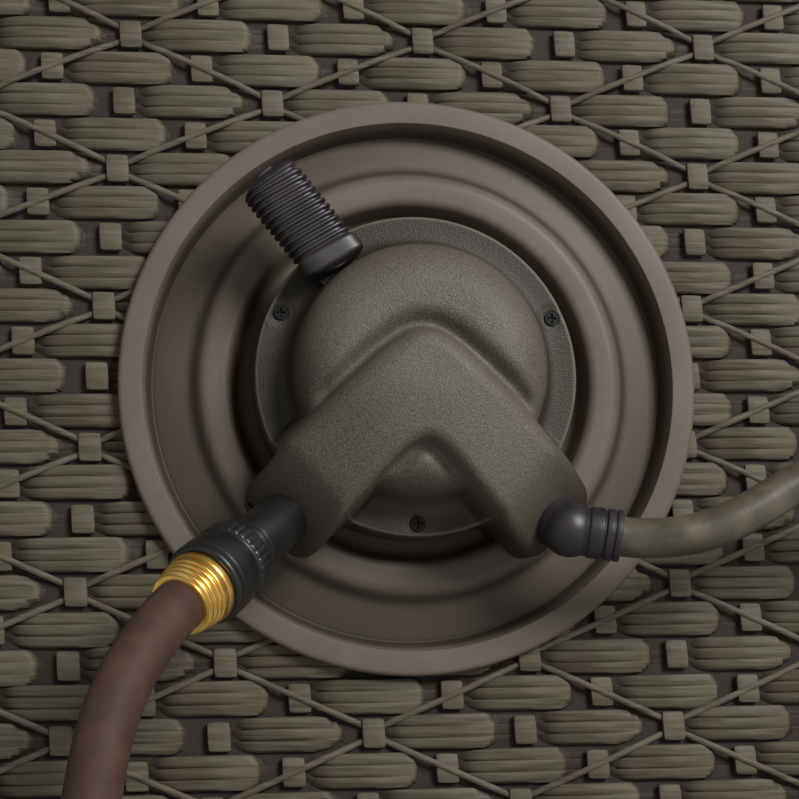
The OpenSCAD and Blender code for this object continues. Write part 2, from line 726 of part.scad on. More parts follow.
module lid_profile(half, low, high, soften) {
    fall = soften / 2; // height of the sloping edge
    polygon([[-half, low], [half, low], [half, high - fall], [half - soften, high],
        [soften - half, high], [-half, high - fall]]);
}

// The finger lip at the lid's front edge
module lip() {
    linear_extrude(9) polygon([[-cut, -lip_len / 2 - lip_reach],
        [0, -lip_len / 2 - lip_reach], [lip_reach, -lip_len / 2], [lip_reach, lip_len / 2],
        [0, lip_len / 2 + lip_reach], [-cut, lip_len / 2 + lip_reach]]);
}

// The lid's woven inlay lies in its recess, woven face up
module lid_inlay() {
    half = inlay_l / 2;
    valleys = [for (y = [-half + row_pitch : row_pitch : half - row_pitch / 2]) y];
    face = [for (y = valleys, p = [[-0.5, 0], [-0.25, 1], [0.25, 1], [0.5, 0]])
        [y + row_gap * p[0], inlay_depth - row_valley * p[1]]];
    color("#58544a") translate([-inlay_w / 2, box_y, lid_top - inlay_depth]) rotate([90, 0, 90])
        linear_extrude(inlay_w) polygon(concat([[-half, 0], [-half, inlay_depth]], face,
            [[half, inlay_depth], [half, 0]]));
}

module motor_dish() {
    inner = ring_in_r - ring_slope;
    outer = ring_out_r + ring_slope;
    lip = 2; // width of the rim's rounded edge
    color("#69615a") in_dish() difference() {
        union() {
            rotate_extrude() polygon([[feed_r + 1, dish_floor_z], [inner, dish_floor_z],
                [ring_in_r - 0.5, rim_proud - 1], [ring_in_r + 0.5, rim_proud],
                [ring_out_r - 0.5, rim_proud], [ring_out_r + 0.5, rim_proud - 1],
                [outer, dish_floor_z + channel_rise], [floor_r, dish_floor_z],
                [band_r - 0.5, rim_proud - 1], [band_r + 0.5, rim_proud], [dish_r - lip, rim_proud],
                [dish_r, rim_proud - lip], [dish_r, 0], [dish_skirt_r, 0], [dish_skirt_r, dish_back],
                [floor_r, dish_back], [outer + dish_wall / 2, dish_back + channel_rise - 0.5],
                [ring_out_r - 1, rim_proud - dish_wall],
                [ring_in_r + 1, rim_proud - dish_wall], [inner - dish_wall / 2, dish_back],
                [feed_r + 1, dish_back]]);
            at_cover_screws() rod(boss_r, dish_back, flange_z - cover_wall);
            tube(axle_r + 6, axle_r + seat, dish_back - axle_boss, dish_back + cut);
            translate(idler_at) rod(idler_boss_r, wheel_top + cut, dish_back + cut);
        }
        at_cover_screws() rod(screw_r + seat, dish_floor_z, flange_z);
        translate(feed_at) rod(feed_r + fit, dish_back - cut, dish_floor_z + cut);
        translate(idler_at) rod(shaft_r + seat, wheel_top, dish_back);
        ring_of(6, dish_screw_circle, 30) rod(screw_r + seat, -cut, rim_proud - 2);
        at_lugs() rod(screw_r + seat, dish_back - cut, dish_back + 2);
    }
}

module at_cover_screws() {
    for (a = [-cover_screw_turn, cover_screw_turn, 180])
        translate(cover_screw_circle * [sin(a), cos(a), 0]) children();
}

module dish_screws() {
    color("#3a3a3a") in_dish() ring_of(6, dish_screw_circle, 30) {
        rod(screw_head_r, -panel_t - 2, -panel_t);
        rod(screw_r, -panel_t - cut, rim_proud - 2.5);
    }
}

module motor_cover() {
    color("#67605a") in_dish() difference() {
        cover_form(0, dish_floor_z, rim_proud + fit);
        cover_form(cover_wall, dish_floor_z - cut, rim_proud + fit - cut);
        for (side = [-1, 1]) on_port(side) rod(pipe_r + fit, port_low, pipe_r);
        at_cover_screws() {
            rod(boss_r + fit, dish_floor_z - cut, flange_z - cover_wall);
            rod(screw_r + fit, flange_z - 2 * cover_wall, flange_z + cut);
            rod(screw_head_r + fit, flange_z - screw_dip, flange_z + cut);
        }
        lever_slot();
    }
}

// The cover's outer form, or its hollow when inward is its wall
module cover_form(inward, low, leg_low) {
    s = dome_shoulder - inward;
    r = dome_r - inward;
    top = dome_z - inward;
    rod(cover_r - inward, low, flange_z - inward);
    rotate_extrude() {
        translate([0, flange_z - inward - cut]) square([r, top - s - flange_z + inward + cut]);
        translate([0, top - s - cut]) square([r - s, s + cut]);
        translate([r - s, top - s]) circle(s);
    }
    for (side = [-1, 1]) difference() {
        hull() {
            leg_layer(side, 0, inward, leg_low);
            leg_layer(side, leg_round, inward, leg_low);
        }
        on_port(side) block(6 * leg_w, 6 * leg_w, -leg_face - inward, 3 * leg_w);
    }
}

// One layer of a water channel's leg: inset is 0 at its foot and leg_round at its crest
module leg_layer(side, inset, inward, low, $fn = 32) {
    dir = unit([side * port_x, -port_drop - leg_mid]);
    half = leg_w / 2 - inward - inset;
    down = inward + leg_round - inset;
    translate([0, leg_mid, 0]) rod(half, low, crest_z - down);
    rotate([0, 0, atan2(dir[1], dir[0])]) translate([leg_far - leg_w / 2, 0, 0])
        round_block(leg_w - 2 * inward, 2 * half, 4, low, leg_end_z - down);
}

// The slot in the dome's wall that the lever's arm swings in
module lever_slot() {
    half = asin((arm_w / 2 + slot_play) / (dome_r - cover_wall));
    from = lever_rest - half;
    sweep = lever_travel + 2 * half;
    intersection() {
        tube(dome_r + cut, dome_r - cover_wall - cut, arm_low - slot_play, arm_low + arm_t + slot_play);
        translate([0, 0, flange_z]) linear_extrude(2 * arm_t + 4) polygon(concat([[0, 0]],
            [for (i = [0 : 8]) let (a = from + sweep * i / 8) 2 * dome_r * [sin(a), cos(a)]]));
    }
}

module cover_screws() {
    color("#1d1d1d") in_dish() at_cover_screws() difference() {
        union() {
            rod(screw_head_r, flange_z - screw_dip, flange_z + 0.3);
            rod(screw_r, flange_z - screw_depth, flange_z - screw_dip + 0.01);
        }
        cross_slot(1.4 * screw_head_r, flange_z - 0.9, flange_z + cut);
    }
}

// The water ways inside the cover: a valve chamber and a pipe to each port
module water_manifold() {
    wide = water_r + pipe_wall;
    color("#3b3b3b") in_dish() difference() {
        union() {
            rod(valve_r + pipe_wall + 2, dish_floor_z, manifold_top);
            for (side = [-1, 1]) {
                on_port(side) rod(wide, port_low, -leg_face - 6);
                to_port(side) cylinder(r = wide - 2, h = norm(way_at));
            }
            translate(feed_at) rod(feed_r, dish_back - chamber_wall, way_z);
        }
        rod(valve_r, dish_floor_z + 4, manifold_top + cut);
        rod(water_r, dish_floor_z - cut, dish_floor_z + 5);
        for (side = [-1, 1]) {
            on_port(side) {
                rod(water_r, port_low + 2, 0);
                rod(spigot_r + seat, -spigot_len - leg_face, 0);
            }
            to_port(side) cylinder(r = way_r, h = norm(way_at));
        }
        translate(feed_at) rod(feed_r - 2, dish_back - chamber_wall - cut, way_z);
    }
}

// The level way from the valve to a port's pipe
module to_port(side) {
    translate([0, 0, way_z]) rotate([0, 90, atan2(-way_at[1], side * way_at[0])]) children();
}

// The end of an inlet or outlet that plugs into the manifold, with its seal's groove
module spigot() {
    difference() {
        rod(spigot_r, -spigot_len - leg_face + fit, -leg_face - 5);
        tube(spigot_r + 1, spigot_r - seal_t, spigot_seal - groove_h / 2, spigot_seal + groove_h / 2);
    }
}

module inlet_pipe() {
    color("#151719") in_dish() on_port(-1) difference() {
        union() {
            spigot();
            rod(pipe_r, -leg_face - 5.5, pipe_end);
            rod(thread_r - fit, pipe_end - collar_t, pipe_end);
        }
        rod(water_r, port_low, pipe_end + cut);
    }
}

module inlet_seal() {
    color("#222222") in_dish() on_port(-1) o_ring(spigot_r - seal_t / 2 - fit / 2, seal_t - fit, spigot_seal);
}

module inlet_nut() {
    knurl = 7; // length of the nut's knurled collar
    color("#141618") in_dish() on_port(-1) difference() {
        union() {
            rotate_extrude() polygon([[0, nut_back], [nut_r - 1.2, nut_back], [nut_r - 0.4, nut_back + 0.8],
                [nut_r - 0.4, nut_back + knurl], [nut_r - 1.4, nut_back + knurl + 1],
                [nut_r - 1.4, nut_back + knurl + 2], [nut_r, nut_back + knurl + 8],
                [nut_r, nut_front - nut_chamfer], [nut_r - nut_chamfer, nut_front], [0, nut_front]]);
            ring_of(30, nut_r - 0.7) rod(0.7, nut_back + 1.5, nut_back + knurl - 0.5);
        }
        rod(pipe_r + run_gap, nut_back - cut, nut_back + nut_wall + cut);
        rod(thread_r + run_gap, nut_back + nut_wall, nut_front + cut);
    }
}

module hose_washer() {
    color("#2a2a2a") in_dish() on_port(-1)
        tube(thread_r - 0.8, water_r + 1, pipe_end + washer_play, brass_low - washer_play);
}

module outlet_elbow() {
    ring = drain_d / 2 + 2.5; // radius of the collar that the hose butts on
    color("#17171a") in_dish() difference() {
        union() {
            on_port(1) {
                spigot();
                rod(pipe_r - 0.5, -leg_face - 5.5, 0);
            }
            translate(ball_at(1)) sphere(pipe_r + 0.3);
            aim(ball_at(1), barb_dir) {
                rod(ring - 0.8, 0, barb_arm);
                for (z = [2.5, 6, 9.5]) rod(ring, barb_arm - z, barb_arm - z + 2.5);
            }
        }
        on_port(1) rod(water_r, port_low, 3);
        aim(ball_at(1), barb_dir) rod(water_r - 1, -4, barb_arm + cut);
    }
}

module outlet_seal() {
    color("#222222") in_dish() on_port(1) o_ring(spigot_r - seal_t / 2 - fit / 2, seal_t - fit, spigot_seal);
}

module on_lever() {
    in_dish() rotate([0, 0, -lever_rest]) children();
}

module lever_arm() {
    color("#1a191c") on_lever() difference() {
        union() {
            rod(hub_r, arm_low, arm_low + arm_t);
            translate([-arm_w / 2, 0, arm_low]) cube([arm_w, lever_reach - 6, arm_t]);
        }
        rod(stem_r + seat, arm_low - cut, arm_low + arm_t + cut);
        for (y = grip_screws_at) translate([0, y, 0])
            rod(screw_r + fit, arm_low - cut, arm_low + arm_t + cut);
    }
}

module lever_grip() {
    first = grip_from + grip_block + 1;
    ribs = floor((lever_reach - first - 5) / rib_pitch);
    color("#18171a") on_lever() difference() {
        union() {
            grip_bar(grip_w, grip_t, grip_from, grip_from + grip_block);
            grip_bar(grip_w - 3, grip_t - 2, grip_from + grip_block - cut, lever_reach - 1);
            for (i = [0 : ribs - 1])
                grip_bar(grip_w, grip_t, first + i * rib_pitch, first + i * rib_pitch + rib_pitch / 2);
            grip_bar(grip_w - 1, grip_t - 1, first + ribs * rib_pitch, lever_reach);
        }
        translate([-arm_w / 2 - seat, 0, arm_low - cut])
            cube([arm_w + 2 * seat, lever_reach - 6 + seat, arm_t + cut + seat]);
        for (y = grip_screws_at) translate([0, y, 0])
            rod(screw_r + seat, arm_low, arm_low + 12);
    }
}

module grip_bar(wide, thick, from, to) {
    translate([0, from, arm_low]) rotate([-90, 0, 0]) linear_extrude(to - from) intersection() {
        round_outline(wide, 2 * thick, 6);
        translate([-wide, -2 * thick]) square([2 * wide, 2 * thick]);
    }
}

module grip_screws() {
    color("#3a3a3a") on_lever() for (y = grip_screws_at) translate([0, y, arm_low]) {
        rod(screw_head_r - 0.4, -1.2, 0);
        rod(screw_r, -0.01, 11);
    }
}

module valve_rotor() {
    color("#d8d4c8") on_lever() difference() {
        union() {
            rod(valve_r - run_gap, dish_floor_z + 4 + seat, manifold_top);
            rod(stem_r, manifold_top - cut, arm_low + arm_t);
            rod(stem_r + 3, arm_low + arm_t, arm_low + arm_t + 2);
        }
        rod(water_r, dish_floor_z, way_z + way_r);
        for (a = valve_ways) rotate([0, 0, a]) translate([0, 0, way_z]) rotate([0, 90, 0])
            cylinder(r = way_r - 1.5, h = valve_r + cut);
        for (z = valve_grooves) tube(valve_r + 1, valve_r - seal_t, z - groove_h / 2, z + groove_h / 2);
    }
}

module valve_seals() {
    color("#222222") on_lever() for (z = valve_grooves)
        o_ring(valve_r - seal_t / 2 - fit / 2, seal_t - fit, z);
}

// The housing's lugs, at angles from the direction of the axis where the dish's floor backs them
module at_lugs() {
    inward = atan2(-impeller_at[1], -impeller_at[0]);
    for (a = [-78, 30, 78]) translate(impeller_at) rotate([0, 0, inward + a]) translate([lug_at, 0, 0])
        children();
}

// The round chamber of the water motor, open to the rear
module motor_housing() {
    color("#474747") in_dish() difference() {
        union() {
            translate(impeller_at) rod(chamber_r + chamber_wall, chamber_low, dish_back);
            at_lugs() rod(lug_r, chamber_low, dish_back);
        }
        translate(impeller_at) {
            rod(chamber_r, chamber_low - cut, dish_back - chamber_wall);
            rod(shaft_r + run_gap, dish_back - chamber_wall - cut, dish_back - 0.5);
        }
        translate(feed_at) rod(feed_r + fit, dish_back - chamber_wall - cut, dish_back + cut);
        at_lugs() rod(screw_r + seat, chamber_low - cut, dish_back + cut);
    }
}

module housing_lid() {
    color("#3f3f3f") in_dish() difference() {
        union() {
            translate(impeller_at) rod(chamber_r + chamber_wall, chamber_low - housing_lid_t, chamber_low);
            at_lugs() rod(lug_r, chamber_low - housing_lid_t, chamber_low);
        }
        translate(impeller_at) {
            rod(shaft_r + run_gap, chamber_low - housing_lid_t - cut, chamber_low + cut);
            rod(shaft_r + 2.2, chamber_low - 2, chamber_low + cut);
        }
        at_lugs() rod(screw_r + seat, chamber_low - housing_lid_t - cut, chamber_low + cut);
    }
}

module housing_screws() {
    low = chamber_low - housing_lid_t;
    color("#8c8c8c") in_dish() at_lugs() {
        rod(screw_head_r, low - 2, low);
        rod(screw_r, low - 0.01, dish_back + 1.8);
    }
}

module impeller() {
    low = chamber_low + blade_play;
    hub = 7; // radius of the impeller's hub
    blade_reach = sqrt(pow(impeller_r, 2) - 1) - hub + 2;
    color("#cfc9b8") in_dish() translate(impeller_at) difference() {
        union() {
            rod(hub, low, low + blade_h);
            rod(impeller_r - 4, low, low + 2);
            ring_of(9, 0, 10) translate([hub - 2, -1, low + 1]) cube([blade_reach, 2, blade_h - 2]);
        }
        rod(shaft_r + seat, low - cut, low + blade_h + cut);
    }
}

module impeller_shaft() {
    color("#b5b5b5") in_dish() translate(impeller_at)
        rod(shaft_r, wheel_low - 1, dish_back - 0.5 - fit);
}

module shaft_seal() {
    color("#222222") in_dish() translate(impeller_at)
        tube(shaft_r + 2.1, shaft_r + run_gap, chamber_low - 1.9, chamber_low - 0.1);
}

// A toothed wheel with straight-edged flanks along the involute, a tooth's middle at angle 0
function roll(a) = tan(a) * 180 / PI - a;
function flank(r, teeth) =
    let (pitch = gear_m * teeth / 2, base = pitch * cos(20), a = acos(min(1, base / r)))
    90 / teeth - tooth_play / 4 / pitch * 180 / PI + roll(20) - roll(a);
function gear_outline(teeth) =
    let (pitch = gear_m * teeth / 2, base = pitch * cos(20), tip = pitch + 0.85 * gear_m,
        root = pitch - 1.15 * gear_m, rise = [max(root + 0.1, base), pitch, tip])
    [for (t = [0 : teeth - 1]) let (mid = 360 * t / teeth) each concat(
        [root * [cos(mid - flank(rise[0], teeth)), sin(mid - flank(rise[0], teeth))]],
        [for (r = rise) r * [cos(mid - flank(r, teeth)), sin(mid - flank(r, teeth))]],
        [for (i = [2, 1, 0]) rise[i] * [cos(mid + flank(rise[i], teeth)), sin(mid + flank(rise[i], teeth))]],
        [root * [cos(mid + flank(rise[0], teeth)), sin(mid + flank(rise[0], teeth))]])];

module gear(teeth, low, high, turn) {
    translate([0, 0, low]) rotate([0, 0, turn]) linear_extrude(high - low) polygon(gear_outline(teeth));
}

module impeller_pinion() {
    color("#d9d3c2") in_dish() translate(impeller_at) difference() {
        gear(pinion_teeth, wheel_low, wheel_top, to_impeller + 180 + 180 / pinion_teeth);
        rod(shaft_r + seat, wheel_low - cut, wheel_top + cut);
    }
}

module idler_gear() {
    color("#e0dac8") in_dish() translate(idler_at) difference() {
        union() {
            gear(wheel_teeth, wheel_low, wheel_top, to_impeller);
            gear(pinion_teeth, drum_gear_low - 0.5, wheel_low + 0.01, 90 + 180 / pinion_teeth);
        }
        rod(shaft_r + run_gap, drum_gear_low - 2, wheel_top + cut);
        ring_of(5, wheel_pitch_r * 0.62) rod(7, wheel_low - cut, wheel_top + cut);
    }
}

module idler_pin() {
    color("#b5b5b5") in_dish() translate(idler_at) {
        rod(shaft_r, drum_gear_low - 2, dish_back - 1);
        rod(shaft_r + 2, drum_gear_low - 3, drum_gear_low - 1);
    }
}

module water_axle() {
    color("#c9a24a") in_dish() difference() {
        rod(axle_r, axle_low, dish_back);
        rod(water_r, axle_low - cut, dish_back + cut);
        for (z = axle_grooves) tube(axle_r + 1, axle_r - seal_t, z - groove_h / 2, z + groove_h / 2);
    }
}

module axle_seals() {
    color("#222222") in_dish() for (z = axle_grooves) o_ring(axle_r - seal_t / 2 - fit / 2, seal_t - fit, z);
}

module drum_core() {
    end_len = 24; // length of the thick ring at each end of the core
    end_r = hub_screw_at - 6; // inner radius of that ring
    color("#55524b") in_dish() difference() {
        rod(core_r, far_z, near_z - flange_t);
        rod(core_r - core_wall, far_z + end_len, near_z - flange_t - end_len);
        rod(end_r, far_z - cut, near_z);
        ring_of(6, hub_screw_at, hub_turn) rod(screw_r + seat, far_z - cut, near_z);
        translate([0, 0, elbow_z]) rotate([-90, 0, 0]) cylinder(r = outlet_collar_r + seat, h = core_r + cut);
    }
}

// A spoked drum flange with windows, whose front face is at level
module drum_flange(level, bore) {
    spoke_hole_r = 26; // radius of a round window in the flange
    difference() {
        union() {
            rod(drum_flange_r, level - flange_t, level);
            tube(drum_flange_r, drum_flange_r - 8, level - flange_t - 2, level);
        }
        rod(bore, level - 2 * flange_t, level + flange_t);
        ring_of(8, (core_r + drum_flange_r) / 2, 12)
            rod(spoke_hole_r, level - 2 * flange_t, level + flange_t);
        ring_of(6, hub_screw_at, hub_turn) rod(screw_r + fit, level - 2 * flange_t, level + flange_t);
    }
}

module near_flange() {
    color("#55524b") in_dish() drum_flange(near_z, axle_r + 3 + seat);
}

module far_flange() {
    color("#55524b") in_dish() drum_flange(far_z, far_axle_r);
}

module drum_gear() {
    color("#e0dac8") in_dish() difference() {
        union() {
            gear(drum_teeth, drum_gear_low, drum_gear_top, -90);
            rod(gear_rim + 4, near_z, drum_gear_low + 0.01);
            rod(hub_foot_r, near_z, near_z + gear_foot);
        }
        rod(gear_rim, near_z - cut, drum_gear_top + cut);
        ring_of(6, hub_screw_at, hub_turn) rod(screw_r + fit, near_z - cut, near_z + gear_foot + cut);
    }
}

module drum_screws() {
    color("#8c8c8c") in_dish() ring_of(6, hub_screw_at, hub_turn) {
        translate([0, 0, near_z + gear_foot]) screw(2, gear_foot + flange_t + 12);
        translate([0, 0, far_z - 2 * flange_t]) mirror([0, 0, 1]) screw(2, 2 * flange_t + 12);
    }
}

// The water outlet on the drum: it seals over the axle and carries the hose thread
module drum_elbow() {
    cup = axle_r + 5; // outer radius of the cup over the axle's end
    color("#c9a24a") in_dish() difference() {
        union() {
            rod(cup, elbow_z - axle_r, cup_top);
            translate([0, 0, elbow_z]) rotate([-90, 0, 0]) {
                cylinder(r = outlet_collar_r, h = core_r + outlet_collar);
                cylinder(r = thread_r, h = core_r + outlet_collar + outlet_len);
            }
        }
        rod(axle_r + run_gap, elbow_z - water_r - 2, cup_top + cut);
        translate([0, 0, elbow_z]) rotate([-90, 0, 0])
            cylinder(r = water_r + 1, h = core_r + outlet_collar + outlet_len + cut);
    }
}

module near_bush() {
    color("#b98d3a") in_dish() {
        tube(axle_r + 3, axle_r + run_gap, near_z - flange_t - 6, near_z + 2);
        tube(axle_r + 7, axle_r + 3 - cut, near_z + seat, near_z + 2);
    }
}

module far_axle() {
    color("#9a9a9a") in_dish() difference() {
        union() {
            rod(hub_foot_r, far_z - 2 * flange_t, far_z - flange_t);
            rod(far_axle_r, bearing_face + 7, far_z - flange_t);
            rod(far_axle_r - seat, far_z - flange_t - cut, far_z);
        }
        ring_of(6, hub_screw_at, hub_turn) rod(screw_r + fit, far_z - 3 * flange_t, far_z - flange_t + cut);
    }
}

module far_bearing() {
    color("#4a463f") in_dish() difference() {
        union() {
            rod(bearing_screws + 8, bearing_face, bearing_face + 5);
            rod(far_axle_r + 6, bearing_face, far_z - 2 * flange_t - 3);
        }
        rod(far_axle_r + run_gap, bearing_face + 6, far_z);
        ring_of(4, bearing_screws, 45) rod(screw_r + fit, bearing_face - cut, bearing_face + 5 + cut);
    }
}

module guide_rods() {
    color("#a8a8a8") for (z = [0, rod_gap]) translate([rod_x, box_y + rod_len / 2 - cut, rod_z + z])
        rotate([90, 0, 0]) cylinder(r = rod_r, h = rod_len - 2 * cut);
}

module rod_brackets() {
    color("#4a463f") for (y = [-1, 1]) translate([rod_x, box_y + y * (rod_len / 2 - 6), 0]) difference() {
        block(bracket_w, 12, rod_z - 16, rod_z + rod_gap + 16);
        for (z = [0, rod_gap]) translate([0, 20, rod_z + z]) rotate([90, 0, 0])
            cylinder(r = rod_r + seat, h = 40);
    }
}

// The sliding guide: a frame on both rods, with a window that the hose runs through
module hose_guide() {
    wide = 2 * (rod_r + 5);
    color("#1d1d1f") translate([rod_x, box_y, 0]) difference() {
        block(wide, guide_w, rod_z - rod_r - 6, rod_z + rod_gap + rod_r + 6);
        block(2 * wide, guide_w - 2 * guide_side, rod_z + rod_r + 2.5, rod_z + rod_gap - rod_r - 2.5);
        for (z = [0, rod_gap]) translate([0, guide_w, rod_z + z]) rotate([90, 0, 0])
            cylinder(r = rod_r + run_gap, h = 2 * guide_w);
        for (y = [-1, 1]) translate([0, y * roller_gap / 2, 0])
            rod(pivot_r + run_gap, rod_z + rod_r, rod_z + rod_gap - rod_r);
    }
}

module roller(side) {
    color("#c9c5ba") translate([rod_x, box_y + side * roller_gap / 2, 0]) {
        rod(roller_r, rod_z + rod_r + 3, rod_z + rod_gap - rod_r - 3);
        rod(pivot_r, rod_z + rod_r + 0.6, rod_z + rod_gap - rod_r - 0.6);
    }
}

module near_roller() {
    roller(-1);
}

module far_roller() {
    roller(1);
}

module brass_fitting() {
    color("#d9a63c") in_dish() on_port(-1) difference() {
        rotate_extrude() polygon(concat([[0, brass_low], [thread_r, brass_low],
            [thread_r, nut_front + 1.5], [thread_r + 0.6, nut_front + 2]],
            [for (i = [0 : 3], p = [[0, 0], [0, 1.6], [-0.8, 2], [-0.8, 2.6]])
                [thread_r + 0.6 - i * 0.35 + p[0], nut_front + 2 + i * 3 + p[1]]],
            [[leader_d / 2 + 1, nut_front + brass_len], [0, nut_front + brass_len]]));
        rod(water_r + 1, brass_low - cut, nut_front + brass_len - 3);
    }
}

module leader_hose() {
    color("#5b4742") hose(leader_path, leader_d, 8);
}

module leader_coil() {
    color("#5b4742") hose(leader_turns, leader_d, 6);
}

module drain_hose() {
    color("#4e483c") hose(drain_path, drain_d, 8);
}

module drain_coil() {
    color("#4e483c") hose(drain_turns, drain_d, 6);
}

// The female coupling on the leader's far end, which screws onto a garden tap
module tap_coupling() {
    color("#d9a63c") aim(last(leader_turns), end_dir(leader_turns)) difference() {
        union() {
            rod(coupling_r - 2.5, 0, coupling_len / 2);
            rod(coupling_r - 0.4, coupling_len / 2, coupling_len);
            ring_of(12, coupling_r - 1.2) rod(1.2, coupling_len / 2 + 2, coupling_len - 2, $fn = 16);
        }
        rod(water_r, 4, coupling_len + cut);
        rod(thread_r - 0.8, coupling_len / 2 + 3, coupling_len + cut);
    }
}

// A strap round the coiled drain hose, where its turns lie side by side
module hose_tie() {
    p = drain_turns[tie_ring];
    inward = unit(drain_mid - p);
    wide = drain_d + 2 * tie_play;
    color("#202020") translate(p + drain_step / 2 * inward)
        rotate([0, 0, atan2(inward[1], inward[0])]) rotate([90, 0, 0]) translate([0, 0, -tie_w / 2])
            difference() {
                round_block(drain_step + wide + 2 * tie_t, wide + 2 * tie_t, wide / 2, 0, tie_w);
                round_block(drain_step + wide, wide, wide / 2 - 0.1, -cut, tie_w + cut);
            }
}

echo(leader = path_len(leader_path) + path_len(leader_turns));
echo(drain = path_len(drain_path) + path_len(drain_turns));
echo(lid_swing = lid_swing, guide_travel = guide_travel);
echo(leader_self_gap = self_gap(leader_turns, leader_d), drain_self_gap = self_gap(drain_turns, drain_d));

base_tray();
rubber_feet();
corner_posts();
top_rail();
motor_side_panel();
far_side_panel();
rear_panel();
front_panel();
panel_screws();
lid();
lid_inlay();
hinge_pins();
motor_dish();
dish_screws();
motor_cover();
cover_screws();
water_manifold();
inlet_pipe();
inlet_seal();
inlet_nut();
hose_washer();
outlet_elbow();
outlet_seal();
lever_arm();
lever_grip();
grip_screws();
valve_rotor();
valve_seals();
motor_housing();
housing_lid();
housing_screws();
impeller();
impeller_shaft();
impeller_pinion();
shaft_seal();
idler_gear();
idler_pin();
water_axle();
axle_seals();
drum_core();
near_flange();
far_flange();
drum_gear();
drum_screws();
drum_elbow();
near_bush();
far_axle();
far_bearing();
guide_rods();
rod_brackets();
hose_guide();
near_roller();
far_roller();
brass_fitting();
leader_hose();
leader_coil();
tap_coupling();
drain_hose();
drain_coil();
hose_tie();
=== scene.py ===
import json
import math

import bpy
import numpy as np
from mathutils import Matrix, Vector


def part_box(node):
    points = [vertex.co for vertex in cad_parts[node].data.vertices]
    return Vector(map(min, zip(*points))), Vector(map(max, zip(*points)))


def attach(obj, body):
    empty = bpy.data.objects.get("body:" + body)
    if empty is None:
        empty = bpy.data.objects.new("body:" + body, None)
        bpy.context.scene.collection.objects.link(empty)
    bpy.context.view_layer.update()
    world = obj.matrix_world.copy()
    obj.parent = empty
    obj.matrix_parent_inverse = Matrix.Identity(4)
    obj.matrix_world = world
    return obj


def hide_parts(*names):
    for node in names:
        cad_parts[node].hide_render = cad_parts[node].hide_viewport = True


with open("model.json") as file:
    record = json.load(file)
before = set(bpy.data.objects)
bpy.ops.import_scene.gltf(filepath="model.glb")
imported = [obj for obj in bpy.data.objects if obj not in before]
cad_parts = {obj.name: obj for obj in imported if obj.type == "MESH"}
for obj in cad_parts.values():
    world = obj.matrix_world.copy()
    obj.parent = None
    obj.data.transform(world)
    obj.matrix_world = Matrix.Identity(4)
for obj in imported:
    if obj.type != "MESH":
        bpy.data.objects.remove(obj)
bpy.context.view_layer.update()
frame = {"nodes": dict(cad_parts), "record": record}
nodes = frame["nodes"]
scene = bpy.context.scene

# The dish frame: millimetres from the drum's axis at the woven face, x right, y up, z out of the wall
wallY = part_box("motor_side_panel")[0].y * 1000
axisZ = 282
boxY = (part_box("motor_side_panel")[0].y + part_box("far_side_panel")[1].y) * 500


def unit(v):
    v = np.asarray(v, float)
    return v / np.linalg.norm(v)


# Dish frame to the row frame, both in millimetres
def fromDish(points):
    p = np.asarray(points, float)
    return np.stack([p[..., 0], wallY - p[..., 2], axisZ + p[..., 1]], -1)


# Points made along their own z axis, set at place and pointing along direction
def aimed(points, place, direction):
    d = unit(direction)
    tilt, turn = math.acos(d[2]), math.atan2(d[1], d[0])
    tipped = np.array([[math.cos(tilt), 0, math.sin(tilt)], [0, 1, 0], [-math.sin(tilt), 0, math.cos(tilt)]])
    turned = np.array([[math.cos(turn), -math.sin(turn), 0], [math.sin(turn), math.cos(turn), 0], [0, 0, 1]])
    return points @ (turned @ tipped).T + np.asarray(place, float)


def smoothstep(low, high, x):
    t = np.clip((x - low) / (high - low), 0, 1)
    return t * t * (3 - 2 * t)


# Triangles over grids of points shaped (..., rows, columns, 3). They face along columns cross rows
def skin(points, loopRows=False, loopColumns=False):
    rows, columns = points.shape[-3:-1]
    row = np.arange(rows if loopRows else rows - 1)[:, None]
    column = np.arange(columns if loopColumns else columns - 1)[None, :]
    nextRow, nextColumn = (row + 1) % rows, (column + 1) % columns
    corners = [row * columns + column, row * columns + nextColumn,
               nextRow * columns + nextColumn, nextRow * columns + column]
    quads = np.stack(np.broadcast_arrays(*corners), -1).reshape(-1, 4)
    grids = points.size // (3 * rows * columns)
    quads = (quads[None] + np.arange(grids)[:, None, None] * rows * columns).reshape(-1, 4)
    return points.reshape(-1, 3), np.concatenate([quads[:, [0, 1, 2]], quads[:, [0, 2, 3]]])


# One mesh from surfaces in millimetres. Points that meet are merged, so seams and poles close
def makePiece(name, surfaces, sharp=38):
    points = np.concatenate([p for p, f in surfaces]) / 1000
    starts = np.cumsum([0] + [len(p) for p, f in surfaces[:-1]])
    faces = np.concatenate([f + s for (p, f), s in zip(surfaces, starts)])
    keys, index = np.unique(np.round(points * 1e7).astype(np.int64), axis=0, return_inverse=True)
    faces = index.reshape(-1)[faces]
    a, b, c = faces.T
    faces = faces[(a != b) & (b != c) & (c != a)]
    mesh = bpy.data.meshes.new(name)
    mesh.vertices.add(len(keys))
    mesh.vertices.foreach_set("co", (keys * 1e-7).astype(np.float32).ravel())
    mesh.loops.add(faces.size)
    mesh.loops.foreach_set("vertex_index", faces.astype(np.int32).ravel())
    mesh.polygons.add(len(faces))
    mesh.polygons.foreach_set("loop_start", np.arange(0, faces.size, 3, dtype=np.int32))
    mesh.update(calc_edges=True)
    mesh.validate()
    mesh.shade_smooth()
    mesh.set_sharp_from_angle(angle=math.radians(sharp))
    piece = bpy.data.objects.new(name, mesh)
    scene.collection.objects.link(piece)
    return piece


